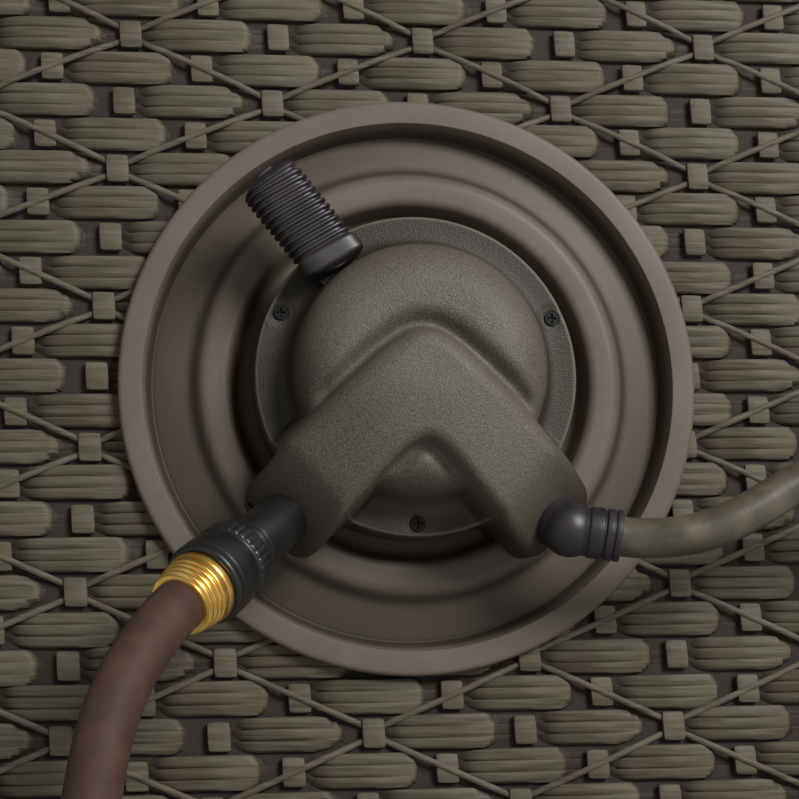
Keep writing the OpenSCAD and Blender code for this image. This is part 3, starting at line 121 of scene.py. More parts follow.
# A closed outline from corners (x, y, radius), each corner drawn as a curve of a few points
def rounded(corners, steps=5):
    c = np.array(corners, float)
    xy, radius = c[:, :2], c[:, 2:]
    before, after = np.roll(xy, 1, 0) - xy, np.roll(xy, -1, 0) - xy
    longBefore = np.linalg.norm(before, axis=1, keepdims=True)
    longAfter = np.linalg.norm(after, axis=1, keepdims=True)
    cut = np.minimum(radius, 0.45 * np.minimum(longBefore, longAfter))
    t = np.linspace(0, 1, steps)[None, :, None]
    start, end = (xy + before / longBefore * cut)[:, None], (xy + after / longAfter * cut)[:, None]
    return ((1 - t) ** 2 * start + 2 * t * (1 - t) * xy[:, None] + t ** 2 * end).reshape(-1, 2)


# A closed outline of (radius, height), run counter-clockwise, turned about the z axis.
# ripple is added to the radii, shaped (outline points, steps)
def lathe(outline, steps=96, ripple=0):
    angle = np.arange(steps) * 2 * np.pi / steps
    radius = outline[:, :1] + ripple
    height = outline[:, 1:] + 0 * angle
    points = np.stack([radius * np.cos(angle), radius * np.sin(angle), height], -1)
    return skin(points, loopRows=True, loopColumns=True)


def moved(surface, change):
    points, faces = surface
    return change(points), faces


# Points along the uniform cubic B-spline of a route, its ends reflected so that it starts and ends there
def smoothRoute(route, perSpan):
    p = np.asarray(route, float)
    p = np.vstack([2 * p[0] - p[1], p, 2 * p[-1] - p[-2]])
    t = (np.arange(perSpan) / perSpan)[None, :, None]
    a, b, c, d = p[:-3, None], p[1:-2, None], p[2:-1, None], p[3:, None]
    curve = ((1 - t) ** 3 * a + (3 * t ** 3 - 6 * t ** 2 + 4) * b
             + (-3 * t ** 3 + 3 * t ** 2 + 3 * t + 1) * c + t ** 3 * d) / 6
    return np.vstack([curve.reshape(-1, 3), p[-2]])


# A round tube with closed ends along a path that stays off the vertical.
# radius may be one value for each point of the path
def tube(path, radius, sides=28):
    along = np.gradient(path, axis=0)
    along /= np.linalg.norm(along, axis=1, keepdims=True)
    side = [unit(np.cross(along[0], (0.3, 0.2, 1)))]
    for step in along[1:]:
        side.append(unit(side[-1] - np.dot(side[-1], step) * step))
    side = np.array(side)
    other = np.cross(along, side)
    angle = np.arange(sides) * 2 * np.pi / sides
    radius = np.broadcast_to(radius, len(path))[:, None, None]
    rings = path[:, None] + radius * (np.cos(angle)[:, None] * side[:, None]
                                      + np.sin(angle)[:, None] * other[:, None])
    capped = np.concatenate([path[:1, None] + 0 * rings[:1], rings, path[-1:, None] + 0 * rings[-1:]])
    return skin(capped, loopColumns=True)


# Camera: in front of the rim as in the photograph, turned a little to the right and up. Metres and degrees
view = {"lens": 74.09, "sensor": 36, "across": -.0873, "standoff": .726, "height": .1686, "yaw": 6.47,
        "pitch": 8.25}
camera = bpy.data.objects.new("camera", bpy.data.cameras.new("camera"))
scene.collection.objects.link(camera)
camera.data.lens = view["lens"]
camera.data.sensor_width = view["sensor"]
camera.data.clip_start = .01
yaw, pitch = math.radians(view["yaw"]), math.radians(view["pitch"])
gaze = Vector((math.sin(yaw) * math.cos(pitch), math.cos(yaw) * math.cos(pitch), math.sin(pitch)))
camera.location = (view["across"], wallY / 1000 - view["standoff"], view["height"])
camera.rotation_euler = gaze.to_track_quat("-Z", "Y").to_euler()
scene.camera = camera
print("camera ready")


# The two ports: side is -1 for the inlet and 1 for the outlet. Each slopes down and out of the wall from its
# ball, and the outlet's arm leaves its ball at a flatter angle of its own
port = {"ball": (62.5, -68, 43), "slope": 42, "tilt": 45, "nutFront": 54, "brassLength": 16, "armLength": 22,
        "armDrop": 8, "armOut": 10}


def portDirection(side):
    slope, tilt = math.radians(port["slope"]), math.radians(port["tilt"])
    return np.array([side * math.cos(tilt) * math.cos(slope), -math.cos(tilt) * math.sin(slope),
                     math.sin(tilt)])


def ballAt(side):
    return np.array([side, 1, 1]) * port["ball"]


armDrop, armOut = math.radians(port["armDrop"]), math.radians(port["armOut"])
armDirection = np.array([math.cos(armOut) * math.cos(armDrop), -math.cos(armOut) * math.sin(armDrop),
                          math.sin(armOut)])
leaderExit = fromDish(ballAt(-1) + (port["nutFront"] + port["brassLength"]) * portDirection(-1))
drainExit = fromDish(ballAt(1) + port["armLength"] * armDirection)
dishToRow = np.array([[1, 0, 0], [0, 0, 1], [0, -1, 0]])
leaderDirection, drainDirection = portDirection(-1) @ dishToRow, armDirection @ dishToRow

# The hoses in millimetres: down repeats the points of the CAD source from the fitting to the ground, where
# side (1 left, -1 right) turns the hose into a flat coil. whole is the length along its middle line
leader = {"diameter": 21, "whole": 1200, "side": 1, "meanRadius": 126, "drawIn": 54, "perSpan": 8,
          "leadIn": 4, "couplingRadius": 15.5,
          "down": [(-111.5, -354, 166.5), (-120.5, -365.5, 149.5), (-126, -373.5, 129),
                   (-128.5, -377.5, 105.5), (-132, -378.5, 81.5), (-140.5, -384, 57.5),
                   (-156.5, -393.5, 35.5), (-182, -408, 17), (-212, -425.5, 10.5), (-240, -442, 10.5)]}
drain = {"diameter": 17, "whole": 1200, "side": -1, "meanRadius": 93.5, "drawIn": 18.5, "perSpan": 6,
         "leadIn": 4,
         "down": [(94, -293.5, 210), (107.5, -296.5, 210.5), (121, -298, 213.5), (133.5, -299.5, 219),
                  (146, -299.5, 226), (164.5, -300, 238), (197.5, -300.5, 244.5), (232, -301, 234.5),
                  (258.5, -303, 209), (269, -305, 175), (271, -305, 140), (272, -306, 104),
                  (272, -306.5, 79), (272, -312.5, 52.5), (272, -328, 30), (272, -351, 15),
                  (272, -376.5, 9.8), (272, -398, 9.8)]}


def routeLength(route):
    return float(np.linalg.norm(np.diff(route, axis=0), axis=1).sum())


# A flat spiral that starts straight along the route's end, turns to the hose's side and draws in each turn:
# radius = outer radius - draw-in * turns * s, for s from 0 to 1
def coilRoute(route, hose):
    side, diameter, drawIn = hose["side"], hose["diameter"], hose["drawIn"]
    start, along = np.array(route[-1], float), unit(np.subtract(route[-1], route[-2]))
    turns = (hose["whole"] - routeLength(route) - diameter) / (2 * np.pi * hose["meanRadius"])
    outer = hose["meanRadius"] + drawIn * turns / 2
    ring = start + diameter * along
    middle = ring + side * outer * np.array([-along[1], along[0], 0])
    first = math.atan2(ring[1] - middle[1], ring[0] - middle[0])
    s = np.linspace(0, 1, math.ceil(turns * 24) + 1)
    angle = first + side * 2 * np.pi * turns * s
    radius = outer - drawIn * turns * s
    return np.stack([middle[0] + radius * np.cos(angle), middle[1] + radius * np.sin(angle),
                     start[2] + 0 * s], -1)


leaderDiameter, drainDiameter = leader["diameter"], drain["diameter"]
leaderPath = np.vstack([leaderExit, leaderExit + leader["leadIn"] * leaderDirection, leader["down"]])
drainPath = np.vstack([drainExit, drainExit + drain["leadIn"] * drainDirection, drain["down"]])
leaderTurns, drainTurns = coilRoute(leaderPath, leader), coilRoute(drainPath, drain)
# The last third of a turn rises, so that the wider coupling lies on the ground
rise = np.clip((np.arange(len(leaderTurns)) + 9 - len(leaderTurns)) / 6, 0, 1)
leaderTurns[:, 2] += (leader["couplingRadius"] - leaderDiameter / 2) * rise ** 2 * (3 - 2 * rise)
leaderCurve = smoothRoute(np.vstack([leaderPath, leaderTurns]), leader["perSpan"])
drainCurve = smoothRoute(np.vstack([drainPath, drainTurns]), drain["perSpan"])
leaderEnd = unit(leaderCurve[-1] - leaderCurve[-2])
leaderHose = makePiece("leaderHose", [tube(leaderCurve, leaderDiameter / 2)])
drainHose = makePiece("drainHose", [tube(drainCurve, drainDiameter / 2)])
print("hoses ready", round(routeLength(leaderCurve)), round(routeLength(drainCurve)))


# The woven wall in millimetres: the lattice of its stakes and rows, which lean a little, half a stake's
# width, the strands of a bundle and how deep the board behind them lies
weaving = {"stakeStart": 6, "stakePitch": 33.547, "stakeLean": 1.105, "rowStart": 161.5, "rowPitch": 15.802,
           "rowLean": .602, "stakeHalf": 5, "stakeTall": 6.4, "bundleHalf": 7.65, "strandPitch": 5.1,
           "crossWide": 1.35, "crossThick": .85, "back": -4.8, "seed": 5}
stakeHalf, bundleHalf, wovenBack = weaving["stakeHalf"], weaving["bundleHalf"], weaving["back"]
weaveRandom = np.random.default_rng(weaving["seed"])


# Stake i of row j, and the middle of row j beside it
def stakeAt(i, j):
    return weaving["stakeStart"] + weaving["stakePitch"] * i - weaving["stakeLean"] * j


def rowAt(i, j):
    return weaving["rowStart"] + weaving["rowLean"] * i - weaving["rowPitch"] * j


# Bundles of three flat strands, each from one stake to the next but one of its row. Across a bundle the
# upper edge of each strand stands proud and the strand slopes back below it; the steps fade along it. The
# bundle comes out from under its first stake, and its round end drops into the hollow before the last one
def bundles(i, j):
    t = np.array([0, 0, .04, .09, .15, .24, .38, .52, .63, .71, .76, .79, .82, .85, .88, 1, 1])
    across = np.concatenate([bundleHalf - weaving["strandPitch"] * k - np.array([0, .25, .6, 3.6, 4.95])
                             for k in range(3)] + [[-7.4, 7.4]])
    depth = np.concatenate([np.tile([-1.8, -.4, -.1, -.75, -1.6], 3), [wovenBack, wovenBack]])
    count = len(i)
    i, j = i[:, None, None], j[:, None, None]
    t, across, depth = t[None, :, None], across[None, None, :], depth[None, None, :]
    wobble = weaveRandom.normal(0, 1, (4, count, 1, 1))
    nodeEnd = ((i + 2) % 2 == 0) & ((j - i - 2) % 4 == 0)
    start, end = stakeAt(i, j) + stakeHalf - 1.5, stakeAt(i + 2, j) - stakeHalf + 1
    narrow = 1 - .08 * (1 - smoothstep(0, .2, t)) - np.where(nodeEnd, .3, .06) * smoothstep(.6, .88, t) ** 2
    closed = np.ones_like(t)
    closed[:, [0, -1]] = 0
    steps = -.5 + (depth + .5) * (1 - .8 * smoothstep(.4, .8, t))
    aside = np.abs(across / bundleHalf)
    falls = .835 + .012 * wobble[0] - np.where(nodeEnd, .13, .05) * aside ** 3
    sink = -3.3 * (1 - smoothstep(0, .24, t)) - 3.4 * smoothstep(falls - .025, falls + .025, t)
    top = steps + sink - .8 * aside ** 4 + .5 * np.sin(np.pi * np.minimum(t, .85)) - .5 + .2 * wobble[1]
    u = start + (end - start) * t + 0 * across
    v = (rowAt(i + 2 * t, j) + .25 * wobble[2]
         + (across * narrow + .3 * wobble[3] * np.sin(np.pi * t)) * closed)
    w = np.minimum(np.where(closed > 0, np.where(depth > wovenBack, top, depth), wovenBack + 1), 0)
    return np.stack([u, v, np.maximum(w, wovenBack)], -1)


# Flat stake heads: squares with lightly rounded corners that stand on the backing
def stakes(i, j):
    share = np.array([0, .8, .95, 1, 0])[None, :, None]
    top = np.array([-.2, -.22, -.45, -2.2, wovenBack])[None, :, None]
    angle = (np.arange(20) * np.pi / 10 + np.pi / 20)[None, None, :]
    square = (np.abs(np.cos(angle)) ** 14 + np.abs(np.sin(angle)) ** 14) ** (-1 / 14)
    v = weaving["stakeTall"] * share * square * np.sin(angle)
    u = stakeAt(i, j)[:, None, None] + stakeHalf * share * square * np.cos(angle) - .07 * v
    w = top - np.where(top > -2, .5 * (v / 6.5) ** 4, 0)
    return np.stack([u, rowAt(i, j)[:, None, None] + v, np.broadcast_to(w, u.shape)], -1)


# Thin strands from one node stake to the next, down or up to the right by two rows
def diagonals(i, j, rows):
    t = np.array([0, 0, .05, .12, .22, .34, .42, .5, .58, .66, .78, .88, .95, 1, 1])[None, :, None]
    angle = -(np.arange(8) * np.pi / 4)[None, None, :]
    i, j = i[:, None, None], j[:, None, None]
    fromU, fromV = stakeAt(i, j) + stakeHalf - 2, rowAt(i, j) - np.sign(rows) * 2.6
    toU, toV = stakeAt(i + 2, j + rows) - stakeHalf + 2, rowAt(i + 2, j + rows) + np.sign(rows) * 2.6
    closed = np.ones_like(t)
    closed[:, [0, -1]] = 0
    middle = -2.6 + 2.5 * smoothstep(0, .3, t) * smoothstep(0, .3, 1 - t)
    lean = np.arctan2(toV - fromV, toU - fromU)
    wide = weaving["crossWide"]
    u = fromU + (toU - fromU) * t - wide * np.cos(angle) * np.sin(lean) * closed
    v = fromV + (toV - fromV) * t + wide * np.cos(angle) * np.cos(lean) * closed
    w = middle + weaving["crossThick"] * np.sin(-angle) * closed
    return np.stack(np.broadcast_arrays(u, v, w), -1)


# How far it is from a point (u, v) inside a rectangle to its side in each direction
def toSides(u, v, sides, angle):
    low, high, foot, head = sides
    with np.errstate(divide="ignore"):
        flat = np.where(np.cos(angle) > 0, high - u, u - low) / np.abs(np.cos(angle))
        tall = np.where(np.sin(angle) > 0, head - v, v - foot) / np.abs(np.sin(angle))
    return np.minimum(flat, tall)


# The board behind the strands, from depth high to depth low, round a round hole (u, v, radius)
# or an oblong one (u, v, half width, half height)
def board(sides, hole, high, low):
    u, v = hole[:2] if hole else ((sides[0] + sides[1]) / 2, (sides[2] + sides[3]) / 2)
    angle = [np.arange(180) * np.pi / 90]
    for reachU in (sides[0] - u, sides[1] - u):
        angle += [np.arctan2([sides[2] - v, sides[3] - v], reachU)]
    if hole and len(hole) == 4:
        for reachU in (-hole[2], hole[2]):
            angle += [np.arctan2([-hole[3], hole[3]], reachU)]
    angle = np.unique(np.round(np.concatenate(angle) % (2 * np.pi), 9))
    outer = toSides(u, v, sides, angle)
    inner = 0 * angle
    if hole:
        inner += hole[2] if len(hole) == 3 else toSides(0, 0, (-hole[2], hole[2], -hole[3], hole[3]), angle)
    reach = np.stack([inner, outer, outer, inner])
    depth = np.array([low, low, high, high])[:, None] + 0 * angle
    return skin(np.stack([u + reach * np.cos(angle), v + reach * np.sin(angle), depth], -1), True, True)


# Strands kept to the panel: cut at its sides, and led round its hole
def fitted(grids, sides, hole):
    low, high, foot, head = sides
    u, v = grids[..., 0], grids[..., 1]
    keep = np.ones(len(grids), bool)
    if hole and len(hole) == 3:
        away = np.hypot(u - hole[0], v - hole[1])
        keep &= away.max((1, 2)) > hole[2] + 1.5
        push = np.maximum(away, hole[2] + 1) / np.maximum(away, 1e-6)
        u, v = hole[0] + (u - hole[0]) * push, hole[1] + (v - hole[1]) * push
    if hole and len(hole) == 4:
        middle = v.mean((1, 2), keepdims=True) - hole[1]
        beside = np.abs(middle) < hole[3]
        within = np.abs(u - hole[0]) < hole[2] + 1
        keep &= ~(beside & within).all((1, 2))
        outward = np.sign(u.mean((1, 2), keepdims=True) - hole[0])
        u = np.where(beside & within, hole[0] + (hole[2] + 1) * outward, u)
        near = ~beside & within & (np.abs(v - hole[1]) < hole[3] + .5)
        v = np.where(near, hole[1] + (hole[3] + .5) * np.sign(middle), v)
    keep &= (u.max((1, 2)) > low + 1) & (u.min((1, 2)) < high - 1)
    keep &= (v.max((1, 2)) > foot + 1) & (v.min((1, 2)) < head - 1)
    grids = np.stack([np.clip(u, low, high), np.clip(v, foot, head), grids[..., 2]], -1)
    return grids[keep]


# One woven panel: its strands and its board. place takes (u, v, w) to the row frame
def wovenPanel(name, node, sides, place, hole=None, body="box", thick=9):
    reach = int(max(abs(s) for s in sides) / 15) + 14
    i, j = np.meshgrid(np.arange(-reach, reach), np.arange(-reach - 14, reach + 24))
    i, j = i[(i + j) % 2 == 0], j[(i + j) % 2 == 0]
    joint = (i % 2 == 0) & ((j - i) % 4 == 0)
    forms = [bundles(i, j), stakes(i, j), diagonals(i[joint], j[joint], 2), diagonals(i[joint], j[joint], -2)]
    surfaces = [moved(skin(fitted(grids, sides, hole), False, True), place) for grids in forms]
    weave = makePiece(name + "Weave", surfaces, 50)
    back = makePiece(name + "Board", [moved(board(sides, hole, wovenBack + .6, -thick), place)])
    for piece in (weave, back):
        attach(piece, body)
    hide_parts(node)
    return weave, back


# Motor panel in the dish frame: u right, v up and w out of the wall are the dish's own x, y and z
def wallSides(node, across):
    low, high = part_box(node)
    return (low[across] * 1000, high[across] * 1000, low.z * 1000 - axisZ, high.z * 1000 - axisZ)


# The other walls and the lid take the same (u, v, w) to their own faces
def onFarWall(p):
    return np.stack([-p[..., 0], farY + p[..., 2], axisZ + p[..., 1]], -1)


def onFrontWall(p):
    return np.stack([frontX + p[..., 2], boxY + p[..., 0], axisZ + p[..., 1]], -1)


def onRearWall(p):
    return np.stack([rearX - p[..., 2], boxY - p[..., 0], axisZ + p[..., 1]], -1)


def onLid(p):
    return np.stack([p[..., 0], boxY + p[..., 1], inlayTop + p[..., 2]], -1)


# The round hole for the dish is its radius, and the hose window half its width and height
walls = {"dishHole": 121.5, "windowHeight": 232, "windowHalf": (200, 55), "inlaySunk": .8}
motorSides = wallSides("motor_side_panel", 0)
motorPanel = wovenPanel("motorPanel", "motor_side_panel", motorSides, fromDish, (0, 0, walls["dishHole"]))
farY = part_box("far_side_panel")[1].y * 1000
farPanel = wovenPanel("farPanel", "far_side_panel", motorSides, onFarWall)
endHalf = (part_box("front_panel")[1].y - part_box("front_panel")[0].y) * 500
endSides = (-endHalf, endHalf, motorSides[2], motorSides[3])
frontX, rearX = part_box("front_panel")[1].x * 1000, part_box("rear_panel")[0].x * 1000
frontPanel = wovenPanel("frontPanel", "front_panel", endSides, onFrontWall,
                        (0, walls["windowHeight"] - axisZ, *walls["windowHalf"]))
rearPanel = wovenPanel("rearPanel", "rear_panel", endSides, onRearWall)
inlayLow, inlayHigh = (np.array(corner) * 1000 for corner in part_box("lid_inlay"))
inlayTop = inlayHigh[2] - walls["inlaySunk"]
inlaySides = (inlayLow[0], inlayHigh[0], inlayLow[1] - boxY, inlayHigh[1] - boxY)
lidInlay = wovenPanel("lidInlay", "lid_inlay", inlaySides, onLid, body="lid", thick=inlayTop - inlayLow[2])
print("woven walls ready")


# Motor dish: the CAD outline with its corners eased, as (radius, height, easing), and the bosses behind it.
# The cover's screws stand on a circle, at turns from upright
dish = {"outline": [(8, -6, 0), (77.4, -6, 3), (81.3, 6, 3.4), (93.3, 6, 3.4), (97.2, 0, 2.4),
                    (115.5, -6, .8), (119.3, 6, .4), (130, 6, 2.6), (130, .05, .4), (121, .05, 0),
                    (121, -9, .5), (115.5, -9, .5), (98.7, -3.5, 1), (92.3, 3, 1), (82.3, 3, 1),
                    (76.2, -9, 1), (8, -9, 0)],
        "boss": [(1.6, -9), (4, -9), (4, 23), (1.6, 23)], "screwRadius": 65, "screwTurns": (-66.5, 66.5, 180),
        "socket": [(13, -38, 1), (19, -38, 1), (19, -8, 0), (13, -8, 0)],
        "idlerSocket": [(3, -52, .5), (8, -52, .8), (8, -8, 0), (3, -8, 0)], "idlerDrop": 75}


# A turned form of the dish, stood at a place of the dish frame
def stood(form, place):
    return moved(form, lambda points: fromDish(points + np.array(place)))


screwPlaces = [(dish["screwRadius"] * math.sin(math.radians(turn)),
                dish["screwRadius"] * math.cos(math.radians(turn)), 0) for turn in dish["screwTurns"]]
motorDish = makePiece("motorDish", [moved(lathe(rounded(dish["outline"], 7), 256), fromDish)], 50)
bossForms = [stood(lathe(np.array(dish["boss"]), 24), place) for place in screwPlaces]
dishBosses = makePiece("dishBosses", bossForms)
dishSocket = makePiece("dishSocket", [moved(lathe(rounded(dish["socket"]), 64), fromDish)])
idlerSocket = makePiece("idlerSocket", [stood(lathe(rounded(dish["idlerSocket"]), 40),
                                              (0, -dish["idlerDrop"], 0))])

# Motor cover: a height over the wall for each point (x, y) of the dish frame. The edges of the chevron are
# (top, slope, bend, apex), and the rounds are the radii of its outer and inner edge
cover = {"flangeRadius": 70.5, "flangeTop": 26, "legTo": (62.5, -65), "legFrom": (0, -3), "legHalf": 20,
         "legReach": 91, "legCorner": 9, "domeLow": 38, "domeFoot": 54.5, "shoulder": 24, "crest": 70,
         "crestFall": 14, "outerEdge": (13.6, 1.02, 13, -1.2), "innerEdge": (-32.6, 1.2, 8, -1),
         "outerRound": 9, "innerRound": 5, "valley": 6, "pad": 3.6, "legEnd": (.7447, .6674, 91.9),
         "legBack": 6.4, "flangeBack": -5.9}
legDirection = unit(cover["legTo"])


# The chevron's edges: y = top + slope * bend - slope * sqrt((x - apex)^2 + bend^2). The second value is the
# cosine of the edge's local slope, which turns a vertical distance from it into a square one
def chevronEdge(x, top, slope, bend, apex):
    run = np.hypot(x - apex, bend)
    return top + slope * bend - slope * run, 1 / np.hypot(1, slope * (x - apex) / run)


def smoothMax(a, b, blend):
    return .5 * (a + b + np.hypot(a - b, blend))


# How far a point lies inside the cover's outline, which is the flange and two legs with round corners
def coverInset(x, y):
    fromX, fromY = np.abs(x) - cover["legFrom"][0], y - cover["legFrom"][1]
    along = fromX * legDirection[0] + fromY * legDirection[1]
    aside = np.abs(fromY * legDirection[0] - fromX * legDirection[1])
    corner = cover["legCorner"]
    past, over = along - (cover["legReach"] - corner), aside - (cover["legHalf"] - corner)
    legInset = (corner - np.hypot(np.maximum(past, 0), np.maximum(over, 0))
                - np.minimum(np.maximum(past, over), 0))
    return smoothMax(cover["flangeRadius"] - np.hypot(x, y), legInset, 2)


# Distance from the axis to that outline in each direction, found by halving
def coverReach(angle):
    near, far = 0 * angle + 60, 0 * angle + 100
    for step in range(30):
        middle = (near + far) / 2
        inside = coverInset(middle * np.cos(angle), middle * np.sin(angle)) > 0
        near, far = np.where(inside, middle, near), np.where(inside, far, middle)
    return near


def coverHeight(x, y, edge):
    r = np.hypot(x, y)
    # Dome: a slightly crowned top, a round shoulder and a hollow foot
    shoulder, footRadius = cover["shoulder"], cover["domeFoot"]
    turned = np.clip((r - (footRadius - shoulder)) / shoulder, 0, 1)
    dome = cover["domeLow"] + shoulder * np.sqrt(1 - turned ** 2) + np.clip(1 - (r / 32) ** 2, 0, 1)
    foot = cover["flangeTop"] + 12 * np.exp(-np.maximum(r - footRadius, 0) / 1.9)
    dome = np.where(r < footRadius, dome, foot)
    # Chevron: its crest falls towards the legs, and its two edges are rounded
    outerY, outerSlope = chevronEdge(x, *cover["outerEdge"])
    innerY, innerSlope = chevronEdge(x, *cover["innerEdge"])
    outer, inner = (outerY - y) * outerSlope, (y - innerY) * innerSlope
    crest = cover["crest"] - cover["crestFall"] * smoothstep(10, 88, r)
    large, small = cover["outerRound"], cover["innerRound"]
    soft, hard = np.clip(outer, 0, large), np.clip(inner, 0, small)
    band = (crest - large + np.sqrt(large ** 2 - (large - soft) ** 2)
            - small + np.sqrt(small ** 2 - (small - hard) ** 2))
    band += 4.5 * np.minimum(outer, 0) + 6 * np.minimum(inner, 0)
    onDome = 1 - smoothstep(42, 54, r)
    valley = cover["valley"] * np.exp(-((outer + 2.6) / 4.6) ** 2) * onDome
    pad = cover["pad"] * np.exp(-((inner + 3) / 4.2) ** 2) * onDome
    height = smoothMax(dome - valley - pad, band, 3.4)
    # Slanting ends of the legs, square to the ports
    endX, endY, endAt = cover["legEnd"]
    past = np.abs(x) * endX - y * endY - endAt
    height = -smoothMax(-height, past - 31.7, 2.4)
    # Rounded outer edge: 2 mm on the flange, 6 mm on the legs
    ease = np.where(height > cover["flangeTop"] + 5, 6, 2)
    within = np.clip(edge, 0, ease)
    height = height - ease + np.sqrt(ease ** 2 - (ease - within) ** 2)
    # A sunk seat for each screw, with a soft dip round it
    for place in screwPlaces:
        away = np.hypot(x - place[0], y - place[1])
        height = height - 1.2 * (1 - smoothstep(2.9, 3.9, away)) - .5 * np.exp(-((away - 4.5) / 1.6) ** 2)
    return height


# The cover as rings of points from its back over its rim to the axis: point = share * reach along each
# direction. Directions lie closer together beside the legs, where the outline bends
def coverGrid(directions=560, innerRings=120, rimRings=34):
    fine = np.linspace(0, 2 * np.pi, 4001)
    dense = 1 + 1.2 * np.abs(np.gradient(coverReach(fine), fine)) / cover["flangeRadius"]
    spread = np.concatenate([[0], np.cumsum(.5 * (dense[1:] + dense[:-1]))])
    angle = np.interp(np.arange(directions) / directions * spread[-1], spread, fine)
    share = np.concatenate([np.linspace(0, .9, innerRings), 1 - .1 * np.linspace(1, 0, rimRings)[1:] ** 1.4])
    reach = coverReach(angle)
    r = share[:, None] * reach[None, :]
    x, y = r * np.cos(angle), r * np.sin(angle)
    z = coverHeight(x, y, np.minimum(coverInset(x, y), reach[None, :] - r))
    bottom = np.where(reach > 77, cover["legBack"], cover["flangeBack"])
    rim = np.stack([x[-1], y[-1], bottom], -1)
    centre = np.stack([0 * bottom, 0 * bottom, 0 * bottom + cover["flangeBack"]], -1)
    return np.concatenate([centre[None], rim[None], np.stack([x, y, z], -1)[::-1]])


motorCover = makePiece("motorCover", [moved(skin(coverGrid(), False, True), fromDish)], 60)
print("dish and cover ready")


# Fittings: outlines are (distance from the port's line, distance from its ball, easing)
def onPort(side):
    return lambda p: fromDish(aimed(p, ballAt(side), portDirection(side)))


def onArm(p):
    return fromDish(aimed(p, ballAt(1), armDirection))


# An outline for a turned piece: its outer line, run up, and then its bore of one radius
def bored(outer, bore):
    return rounded([(bore, outer[0][1], 0), *outer, (bore, outer[-1][1], 0)], 5)


# Inlet pipe: a plug for the port, a pipe with three grooves, and the flange that holds the nut
pipe = {"bore": 6.5, "radius": 11.5, "grooveRadius": 10.9, "grooves": (19.5, 22.3, 25.1),
        "plug": [(8.3, -27.6, .5), (8.3, -13.6, 0), (10.6, -13.6, 0), (11.5, -8, 1.5)],
        "flange": [(11.5, 31.2, 0), (12.9, 31.3, .3), (12.9, 34.3, .3)]}
pipeGrooves = []
for level in pipe["grooves"]:
    pipeGrooves += [(pipe["radius"], level - .5, .3), (pipe["grooveRadius"], level - .2, .2),
                    (pipe["grooveRadius"], level + .5, .2), (pipe["radius"], level + .8, .3)]
pipeOutline = bored([*pipe["plug"], *pipeGrooves, *pipe["flange"]], pipe["bore"])
inletPipe = makePiece("inletPipe", [moved(lathe(pipeOutline, 96), onPort(-1))], 40)

# Swivel nut: a knurled collar, a waist and a smooth body with a thin raised line near its front. The knurls
# are a ripple of the radius: depth * (|sin(knurls / 2 * turn)|^0.6 - 1)
nut = {"outline": [(11.6, 28, 0), (15.2, 28, .8), (16.6, 29.2, .8), (16.6, 35.4, .6), (15.5, 36.4, .6),
                   (15.5, 37.4, .5), (16.6, 39.6, 1.5), (17, 43.2, .8), (17, 49.2, .3), (16.6, 49.5, .2),
                   (16.6, 50.1, .2), (17, 50.4, .3), (17, 53, .9), (16, 54, .5), (13.3, 54, 0),
                   (13.3, 31.2, 0), (11.6, 31.2, 0)],
       "knurls": 30, "knurlDepth": .42, "steps": 240}
nutOuter = rounded(nut["outline"], 6)
nutTurn = np.arange(nut["steps"]) * 2 * np.pi / nut["steps"]
knurled = (nutOuter[:, 0] > 16.2) & (nutOuter[:, 1] > 29) & (nutOuter[:, 1] < 35.8)
knurl = (nut["knurlDepth"] * (np.abs(np.sin(nutTurn * (nut["knurls"] // 2))) ** .6 - 1)
         * smoothstep(29, 30, nutOuter[:, 1:]) * knurled[:, None])
inletNut = makePiece("inletNut", [moved(lathe(nutOuter, nut["steps"], knurl), onPort(-1))], 40)

# Brass fitting: a wide smooth band, ridges that step down, and a thin lip over the hose
brass = {"bore": 7.5, "ridges": 3, "ridgeFrom": 61.4, "ridgePitch": 2.5, "ridgeRadius": 14.3,
         "ridgeStep": .45,
         "band": [(13.1, 37, 0), (13.1, 54.1, 0), (14.7, 54.3, .3), (15.1, 55.4, .5), (14.9, 57.2, .3),
                  (14.6, 57.6, .3), (14.5, 60.6, .5), (13.8, 61.2, .3)],
         "lip": [(12, 69, .2), (12.6, 69.4, .3), (12.6, 70.2, .3), (11.2, 70.5, .2)]}
brassRidges = []
for ridge in range(brass["ridges"]):
    level = brass["ridgeFrom"] + ridge * brass["ridgePitch"]
    size = brass["ridgeRadius"] - brass["ridgeStep"] * ridge
    brassRidges += [(size - .8, level, .3), (size, level + .6, .5), (size - .1, level + 1.6, .5),
                    (size - .9, level + 2.2, .3)]
brassOutline = bored([*brass["band"], *brassRidges, *brass["lip"]], brass["bore"])
brassFitting = makePiece("brassFitting", [moved(lathe(brassOutline, 128), onPort(-1))], 40)

